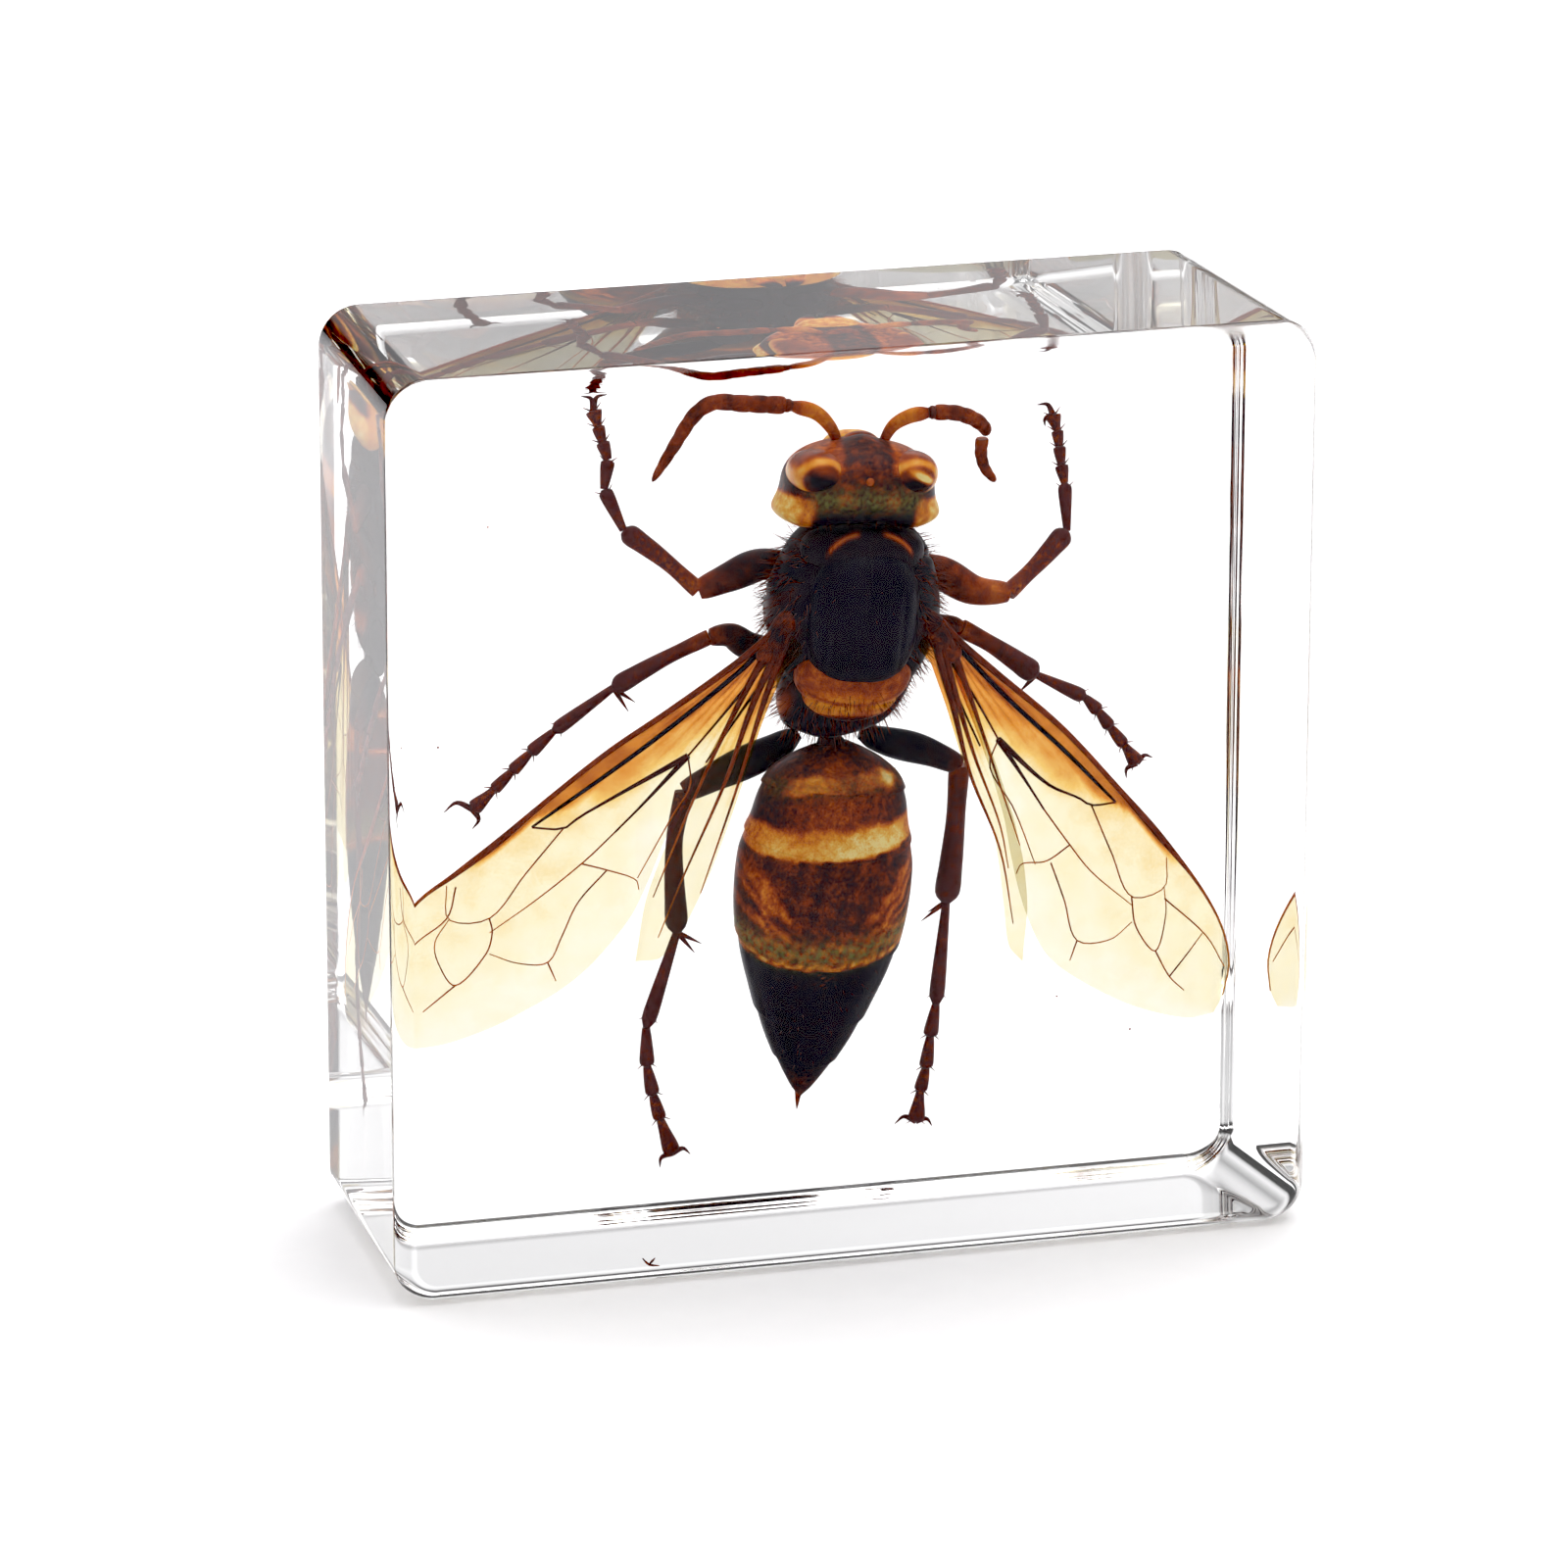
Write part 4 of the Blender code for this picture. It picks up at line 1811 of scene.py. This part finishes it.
@dataclass
class WingPlan:
    """Where one side's wings lie: the root, the line to the tip and the direction to the front edge."""

    side: Side
    root: Vector
    tip: Vector
    ahead: Vector

    def __post_init__(self) -> None:
        """Square up the wing's own axes."""
        self.along = (self.tip - self.root).normalized()
        self.across = (self.ahead - self.ahead.dot(self.along) * self.along).normalized()
        self.up = self.across.cross(self.along) * self.side.value

    def place(self, along: float, across: float, lift: float = 0.0) -> Vector:
        """Carry a point of the wing's own plan into the block.

        Args:
            along: Millimetres from the root towards the tip.
            across: Millimetres towards the front edge.
            lift: Millimetres off the membrane towards the hornet's back.

        Returns:
            The point in block millimetres.
        """
        sag = 0.30 * math.sin(math.pi * clamp(along / 20.0)) - 0.05 * across
        return self.root + self.along * along + self.across * across + self.up * (lift + sag)


Vein = Tuple[Tuple[float, float], ...]

FRONT_EDGE: Keys = ((-1.1, 0.0), (0.0, 0.05), (2.2, 0.40), (6.0, 1.05), (9.7, 1.30), (13.3, 1.42),
                    (15.7, 1.40), (17.7, 1.10), (19.2, 0.45), (20.2, -0.55), (20.55, -1.25))
HIND_EDGE: Keys = ((0.0, -0.45), (1.5, -0.95), (4.5, -1.75), (7.5, -2.75), (10.0, -3.85), (12.0, -4.55),
                   (13.9, -4.85), (16.0, -4.35), (18.3, -3.35), (20.0, -2.15), (20.55, -1.25))


@dataclass
class Wings:
    """One side's fore and hind wing: tinted membranes on a net of veins."""

    plan: WingPlan
    black_vein: Vein
    main_veins: Sequence[Vein]
    net_veins: Sequence[Vein]
    rear_veins: Sequence[Vein]
    front_edge: Keys = FRONT_EDGE
    hind_edge: Keys = HIND_EDGE
    rear_front_edge: Keys = ((-1.1, -0.25), (0.0, -0.45), (3.0, -1.10), (8.0, -2.60), (11.0, -4.0),
                             (13.2, -5.75))
    rear_hind_edge: Keys = ((0.0, -1.30), (2.2, -1.95), (4.5, -2.70), (7.7, -3.45), (10.5, -4.85),
                            (12.2, -5.75), (13.2, -5.75))
    columns: int = 150
    rows: int = 34

    def sheet(self, name: str, front: Keys, hind: Keys, lift: float, tone: WingPaint,
              finish: bpy.types.Material) -> bpy.types.Object:
        """Make one membrane between its two edges.

        Args:
            name: The piece's name.
            front: The front edge over the wing's length.
            hind: The hind edge over the wing's length.
            lift: How far it lies off the wing's plane.
            tone: Gives the tone from the place along and across and the share of the width from the front.
            finish: What it wears.

        Returns:
            The piece.
        """
        end = front[-1][0]
        grid, tones = [], []
        for column in range(self.columns + 1):
            along = mix(-1.1, end, math.sin(0.5 * math.pi * column / self.columns) ** 0.94)
            lead, trail = read_keys(front, along), read_keys(hind, along)
            line, shades = [], []
            for row in range(self.rows + 1):
                share = row / self.rows
                across = mix(lead, trail, share)
                wave = 0.035 * math.sin(2.3 * across + 0.4 * along) + 0.02 * math.sin(3.1 * along)
                line.append(self.plan.place(along, across, lift + wave * ease(0.0, 3.0, along)))
                shades.append(tone(along, across, share))
            grid.append(line)
            tones.append(shades)
        draft = Draft()
        draft.add_sheet(grid, tones)
        return draft.finish(name, finish)

    @staticmethod
    def fore_tone(along: float, across: float, share: float) -> float:
        """Paint the fore wing: red-orange behind the front edge, amber cell, straw to clear behind.

        Args:
            along: Millimetres from the root.
            across: Millimetres towards the front edge; not used.
            share: The share of the width, 0 at the front edge.

        Returns:
            The tone there.
        """
        depth = share * read_span(along)
        reach = mix(1.30, 0.42, ease(9.3, 11.2, along))
        band = ease(reach, 0.45 * reach, depth) * ease(16.5, 11.0, along)
        cell = ease(2.9, 1.0, depth) * ease(11.2, 7.5, along)
        base = ease(6.5, 0.5, along)
        stigma = ease(0.35, 0.15, depth) * ease(9.6, 10.5, along) * ease(14.6, 12.6, along)
        tone = 0.24 - 0.16 * ease(0.35, 1.0, share) - 0.05 * ease(12.0, 20.0, along)
        lead = mix(0.46, 0.32, ease(10.0, 12.0, along))
        tone = mix(tone, lead, ease(2.2, 0.2, depth) * ease(19.0, 12.0, along))
        tone = max(tone, 0.66 * cell, 0.84 * band, 0.80 * base)
        return mix(tone, 0.90, stigma) + rays(share, 7.0, along)

    @staticmethod
    def hind_tone(along: float, across: float, share: float) -> float:
        """Paint the hind wing: pale straw, amber at the root."""
        return mix(0.20, 0.76, ease(6.5, 0.3, along)) - 0.05 * share + rays(share, 5.0, along)

    def lay(self, wires: Wires, vein: Vein, girth: Keys, tone: Keys, lift: float = 0.0) -> None:
        """Lay one vein on the membrane.

        Args:
            wires: The lines to add to.
            vein: Its course in the wing's plan.
            girth: Keys of half thickness.
            tone: Keys of tone.
            lift: How far it stands off the membrane.
        """
        course = ((-1.1, 0.4 * vein[0][1]),) + tuple(vein) if vein[0][0] < 0.6 else tuple(vein)
        route = [tuple(self.plan.place(along, across, lift)) for along, across in course]
        wires.add_line(route, girth, tone, max(6, 5 * (len(route) - 1)))

    def vein_wires(self) -> Wires:
        """Lay the fore wing's edge and veins.

        Returns:
            The lines of the fore wing.
        """
        wires = Wires()
        edge = tuple((along, across) for along, across in self.front_edge[:-1])
        self.lay(wires, edge,
                 ((0.0, 0.16), (0.3, 0.12), (0.5, 0.11), (0.62, 0.15), (0.75, 0.07), (1.0, 0.03)),
                 ((0.0, 0.34), (0.45, 0.44), (0.62, 0.40), (0.8, 0.56), (1.0, 0.76)), 0.02)
        self.lay(wires, self.black_vein, ((0.0, 0.15), (0.2, 0.11), (0.8, 0.085), (1.0, 0.05)),
                 ((0.0, 0.16), (0.3, 0.08), (0.9, 0.10), (1.0, 0.30)), 0.04)
        for vein in self.main_veins:
            self.lay(wires, vein, ((0.0, 0.13), (0.4, 0.075), (0.7, 0.05), (1.0, 0.04)),
                     ((0.0, 0.24), (0.6, 0.27), (1.0, 0.36)))
        for vein in self.net_veins:
            self.lay(wires, vein, ((0.0, 0.034), (0.5, 0.030), (1.0, 0.022)), ((0.0, 0.50), (1.0, 0.68)))
        return wires

    def rear_wires(self) -> Wires:
        """Lay the hind wing's veins and the folded rays at the root.

        Returns:
            The lines of the hind wing.
        """
        wires = Wires()
        for vein in self.rear_veins:
            self.lay(wires, vein, ((0.0, 0.19), (0.25, 0.13), (0.5, 0.07), (1.0, 0.022)),
                     ((0.0, 0.30), (0.5, 0.44), (1.0, 0.66)), -0.16)
        return wires

    def build(self) -> List[bpy.types.Object]:
        """Make and dress both wings of this side.

        Returns:
            The pieces.
        """
        side = self.plan.side.label
        skin = MembraneFinish("membrane_" + side).make()
        horn = CuticleFinish("vein_skin_" + side, patch_size=0.6, patch_reach=0.05, grain_depth=0.004,
                             roughness=0.4, glow=0.0).make()
        fore = self.sheet("fore_wing_" + side, self.front_edge, self.hind_edge, 0.0, self.fore_tone, skin)
        hind = self.sheet("hind_wing_" + side, self.rear_front_edge, self.rear_hind_edge, -0.18,
                          self.hind_tone, skin)
        veins = self.vein_wires().make("fore_wing_veins_" + side, tube_recipe(), horn, {"Sides": 10})
        rear = self.rear_wires().make("hind_wing_veins_" + side, tube_recipe(), horn, {"Sides": 8})
        return [ride(fore, Slot.WING), ride(hind, Slot.WING), ride(veins, Slot.DARK), ride(rear, Slot.DARK)]


def rays(share: float, count: float, along: float) -> float:
    """Give the darker folds that fan out over a wing from its root and fade along it."""
    return 0.15 * max(math.sin(2.0 * math.pi * count * share + 1.0), 0.0) * ease(8.5, 1.5, along)


def read_span(along: float) -> float:
    """Give the fore wing's width at a place along it."""
    return read_keys(FRONT_EDGE, along) - read_keys(HIND_EDGE, along)


def wings_of(side: Side) -> Wings:
    """Plan one side's wings.

    Args:
        side: Which side.

    Returns:
        The wings.
    """
    if side is Side.RIGHT:
        plan = WingPlan(side, Vector((4.66, -1.2, 23.61)), Vector((16.43, 2.6, 8.28)),
                        Vector((0.793, 0.0, 0.609)))
        return Wings(
            plan,
            ((0.1, -0.1), (3.5, 0.15), (7.0, 0.6), (10.3, 0.9)),
            (((0.3, -0.6), (2.5, -0.8), (4.7, -1.1)),
             ((4.7, -1.1), (7.7, -0.7), (9.1, -0.1), (9.7, 0.1), (10.3, 0.9)),
             ((4.7, -1.1), (7.2, -1.3), (8.5, -1.42)),
             ((0.2, -0.9), (2.5, -1.4), (4.4, -1.8))),
            (((8.5, -1.42), (10.5, -1.5), (12.1, -1.5), (14.4, -1.1)),
             ((9.7, 0.1), (12.0, -0.45), (14.1, -0.9), (14.7, 0.3), (13.7, 1.1)),
             ((14.1, -0.9), (15.3, -1.5), (16.7, -1.5), (15.7, -0.3), (14.7, 0.3)),
             ((15.1, 0.05), (17.6, 0.4), (19.2, 0.2)),
             ((16.7, -1.5), (18.0, -1.7), (18.9, -1.6)),
             ((18.0, -1.7), (17.7, -0.6), (17.4, 0.35)),
             ((10.5, -1.5), (10.4, -2.6), (9.8, -3.4), (10.0, -3.8)),
             ((10.6, -2.5), (12.3, -3.0), (14.1, -3.6), (15.0, -2.6), (15.0, -1.5)),
             ((14.1, -3.6), (14.6, -4.3)),
             ((4.7, -1.1), (5.4, -2.0), (7.6, -2.3), (10.2, -3.0))),
            (((-0.1, -0.6), (1.5, -1.2), (4.5, -2.2), (7.7, -3.1), (9.5, -3.9)),
             ((0.0, -0.9), (2.0, -1.6), (5.0, -2.75), (8.6, -3.7), (11.6, -5.1)),
             ((0.0, -0.3), (2.2, -0.9), (5.5, -1.9), (9.0, -3.0))))
    plan = WingPlan(side, Vector((-3.02, -1.2, 24.09)), Vector((-17.01, 2.6, 11.16)),
                    Vector((-0.679, 0.0, 0.734)))
    front = ((0.0, 0.0), (1.3, 0.05), (4.5, 0.42), (7.1, 0.8), (10.1, 1.0), (12.8, 1.1), (14.7, 1.3),
             (16.4, 1.5), (18.2, 1.1), (19.8, 0.1), (20.8, -1.3), (21.2, -2.2))
    hind = ((0.0, -0.5), (1.5, -1.1), (4.5, -2.1), (7.5, -3.2), (9.5, -4.2), (11.3, -4.95), (14.3, -5.3),
            (16.9, -4.8), (19.0, -4.0), (20.6, -3.0), (21.2, -2.2))
    return Wings(
        plan,
        ((0.2, -0.2), (1.2, -0.3), (6.0, -0.05), (11.3, 0.6)),
        (((0.4, -0.7), (2.8, -1.15), (5.1, -1.5)),
         ((5.1, -1.5), (9.7, -0.4), (10.5, -0.3), (11.3, 0.6)),
         ((5.1, -1.5), (7.6, -1.75), (9.2, -1.85)),
         ((0.2, -1.0), (2.5, -1.6), (4.8, -2.2))),
        (((9.2, -1.85), (10.8, -1.9), (13.2, -1.75), (15.4, -1.45)),
         ((10.5, -0.3), (12.8, -0.65), (15.0, -1.0), (16.1, 0.1), (15.2, 1.2)),
         ((15.0, -1.0), (15.3, -1.5), (16.1, -2.0), (17.8, -2.1), (17.6, -0.9), (17.1, -0.2), (16.1, 0.1)),
         ((15.0, 0.9), (16.1, 0.2), (17.6, 0.3), (18.9, 0.1)),
         ((17.8, -2.1), (19.4, -2.0)),
         ((11.0, -1.9), (10.5, -2.8), (10.0, -3.9), (10.2, -4.3)),
         ((10.5, -2.8), (12.2, -3.0), (13.6, -3.6), (14.7, -4.0), (15.5, -3.2), (16.0, -2.1)),
         ((14.7, -4.0), (15.0, -4.8)),
         ((5.1, -1.5), (5.9, -2.5), (7.1, -2.9), (9.9, -3.9))),
        (((-0.1, -0.7), (2.0, -1.7), (4.8, -3.3), (8.6, -5.1), (11.0, -6.3)),
         ((0.0, -1.0), (1.9, -2.1), (4.8, -3.9), (8.6, -6.1)),
         ((0.0, -0.4), (2.4, -1.3), (6.0, -2.9), (10.0, -4.9))),
        front, hind,
        ((0.0, -0.5), (3.0, -1.45), (6.5, -2.9), (10.0, -4.6), (12.3, -6.4)),
        ((0.0, -1.4), (2.0, -2.4), (4.5, -3.9), (7.5, -5.6), (10.0, -6.7), (11.5, -7.0), (12.3, -6.4)))


# ---- Hair ----


@dataclass
class HairCoat:
    """Short hair over one piece."""

    host: str
    density: float
    length: float
    radius: float = 0.014
    lean: Tuple[float, float, float] = (0.0, 0.0, -0.5)
    spread: float = 0.45
    seed: int = 7

    def build(self) -> bpy.types.Object:
        """Grow the hair as one plain mesh.

        Returns:
            The piece.
        """
        finish = CuticleFinish(self.host + "_hair_tint", patch_size=0.8, patch_reach=0.1, glow=0.0).make()
        sizes = {"Density": self.density / MM ** 2, "Length": self.length * MM, "Radius": self.radius * MM,
                 "Lean": self.lean, "Spread": self.spread, "Seed": self.seed}
        hair = hair_recipe().make(self.host + "_hair", bpy.data.objects[self.host], finish, sizes)
        mark(hair, TONE, lambda place: 0.40)
        return ride(hair, Slot.DARK)


# ---- Studio ----


@dataclass
class Studio:
    """The white floor, the soft surrounding light and the camera."""

    aim: Vector = point(-1.264, 0.0, 17.464)
    yaw: float = 15.306
    pitch: float = 17.858
    lean: float = 0.115
    distance: float = 346.05
    lens: float = 208.08
    floor_size: float = 6000.0
    lamp_place: Tuple[float, float, float] = (0.15, 0.10, 0.75)
    lamp_size: Tuple[float, float] = (0.9, 0.7)
    lamp_power: float = 3.7
    black_level: Colour = (0.0535, 0.0540, 0.0545)
    light_by_height: Keys = ((0.0, 0.95), (0.01, 0.10), (0.18, 0.10), (0.24, 0.90), (0.30, 1.15),
                             (0.40, 0.74), (0.46, 0.54), (0.70, 1.95), (1.0, 2.3))
    light_across: Keys = ((0.0, 0.85), (0.20, 0.88), (0.25, 0.98), (0.30, 1.20), (0.33, 1.10), (0.42, 0.85),
                          (1.0, 0.85))
    light_behind: Keys = ((-0.9, 0.30), (0.2, 1.0))

    def build(self) -> None:
        """Lay the floor, light the room and set the camera."""
        self.lay_floor()
        self.light_room()
        self.add_lamp()
        self.set_camera()
        scene = bpy.context.scene
        scene.view_settings.view_transform = "Standard"
        scene.view_settings.use_curve_mapping = True
        scene.view_settings.curve_mapping.black_level = self.black_level
        scene.cycles.max_bounces = 28
        scene.cycles.transmission_bounces = 24
        scene.cycles.transparent_max_bounces = 24
        scene.cycles.diffuse_bounces = 6
        scene.cycles.glossy_bounces = 12

    def lay_floor(self) -> None:
        """Lay a large white floor just under the block."""
        half = self.floor_size / 2 * MM
        mesh = bpy.data.meshes.new("studio_floor")
        corners = [(-half, -half, 0.0), (half, -half, 0.0), (half, half, 0.0), (-half, half, 0.0)]
        mesh.from_pydata(corners, [], [(0, 1, 2, 3)])
        floor = place_mesh("studio_floor", mesh, FloorFinish("white_paper").make())
        floor.location.z = -0.02 * MM

    def light_room(self) -> None:
        """Fill the room with soft light: bright above and behind, calmer low down and towards the front."""
        world = bpy.data.worlds.new("soft_room")
        world.use_nodes = True
        bpy.context.scene.world = world
        room = NodeWriter(world.node_tree)
        way = room.add("ShaderNodeTexCoord", {}).outputs["Generated"]
        parts = room.add("ShaderNodeSeparateXYZ", {"Vector": way}).outputs
        height = room.scale(parts["Z"], self.greys(self.light_by_height))
        across = room.scale(parts["X"], self.greys(self.light_across))
        (low, dim), (high, bright) = self.light_behind
        front = room.add("ShaderNodeMapRange", {"Value": parts["Y"], "From Min": low, "From Max": high,
                                                "To Min": dim, "To Max": bright}).outputs[0]
        strength = room.math("MULTIPLY", front, across)
        background = room.tree.nodes["Background"]
        room.tree.links.new(height, background.inputs["Color"])
        room.tree.links.new(strength, background.inputs["Strength"])

    @staticmethod
    def greys(keys: Keys) -> Stops:
        """Turn keys of brightness into stops of a nearly neutral grey."""
        return [(place, (value, value * 0.995, value * 1.005)) for place, value in keys]

    def add_lamp(self) -> None:
        """Hang one large soft lamp above and behind the block."""
        lamp = bpy.data.lights.new("soft_box", "AREA")
        lamp.shape = "RECTANGLE"
        lamp.size, lamp.size_y = self.lamp_size
        lamp.energy = self.lamp_power
        holder = bpy.data.objects.new("soft_box", lamp)
        bpy.context.scene.collection.objects.link(holder)
        holder.location = self.lamp_place
        holder.rotation_euler = holder.location.to_track_quat("Z", "Y").to_euler()

    def set_camera(self) -> None:
        """Set the camera, looking a little from the left and above."""
        yaw, pitch, lean = (math.radians(angle) for angle in (self.yaw, self.pitch, self.lean))
        ahead = Vector((math.sin(yaw) * math.cos(pitch), math.cos(yaw) * math.cos(pitch), -math.sin(pitch)))
        right = Vector((math.cos(yaw), -math.sin(yaw), 0.0))
        above = right.cross(ahead)
        right, above = (math.cos(lean) * right + math.sin(lean) * above,
                        math.cos(lean) * above - math.sin(lean) * right)
        data = bpy.data.cameras.new("camera")
        data.lens = self.lens
        data.sensor_width = 36.0
        data.clip_start = 0.01
        data.clip_end = 20.0
        camera = bpy.data.objects.new("camera", data)
        bpy.context.scene.collection.objects.link(camera)
        turn = Matrix((right, above, -ahead)).transposed().to_4x4()
        camera.matrix_world = Matrix.Translation((self.aim - self.distance * ahead) * MM) @ turn
        bpy.context.scene.camera = camera


# ---- The whole object ----


def main() -> None:
    """Build the block and the hornet in order."""
    logging.basicConfig(level=logging.INFO, format="%(name)s: %(message)s")
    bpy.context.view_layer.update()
    Studio().build()
    ResinBlock().build()
    specks = Specks()
    specks.build()
    specks.crack()
    Head().build()
    Antenna(Side.LEFT, ((0.35, 0.6, 31.2), (0.05, 0.6, 31.95), (-0.6, 0.45, 32.65), (-1.55, 0.35, 33.0)),
            ((-1.85, 0.3, 33.05), (-3.5, 0.2, 33.25), (-4.6, 0.25, 33.35), (-5.3, 0.4, 32.9),
             (-6.1, 0.7, 31.6), (-6.85, 1.0, 30.3)), 10).build()
    Antenna(Side.RIGHT, ((2.0, 0.6, 31.2), (2.45, 0.6, 31.9), (3.1, 0.5, 32.25), (3.8, 0.4, 32.35)),
            ((4.05, 0.4, 32.35), (4.9, 0.4, 32.25), (5.6, 0.5, 31.95), (6.05, 0.7, 31.55), (6.15, 0.8, 31.2)),
            5, 0.32, 0.28, ((6.0, 0.9, 31.1), (5.98, 1.0, 30.5), (6.15, 1.1, 29.9), (6.6, 1.2, 29.3))).build()
    Thorax().build()
    Gaster().build()
    for leg in six_legs():
        leg.build()
    for side in Side:
        wings_of(side).build()
    for coat in (HairCoat("thorax_walls", 16.0, 0.75, 0.018), HairCoat("back_plate", 7.0, 0.22, 0.010),
                 HairCoat("shield_plates", 16.0, 0.70, 0.016), HairCoat("head_capsule", 7.0, 0.28, 0.010),
                 HairCoat("gaster_rings", 4.0, 0.22, 0.009)):
        coat.build()


if __name__ == "__main__":
    main()
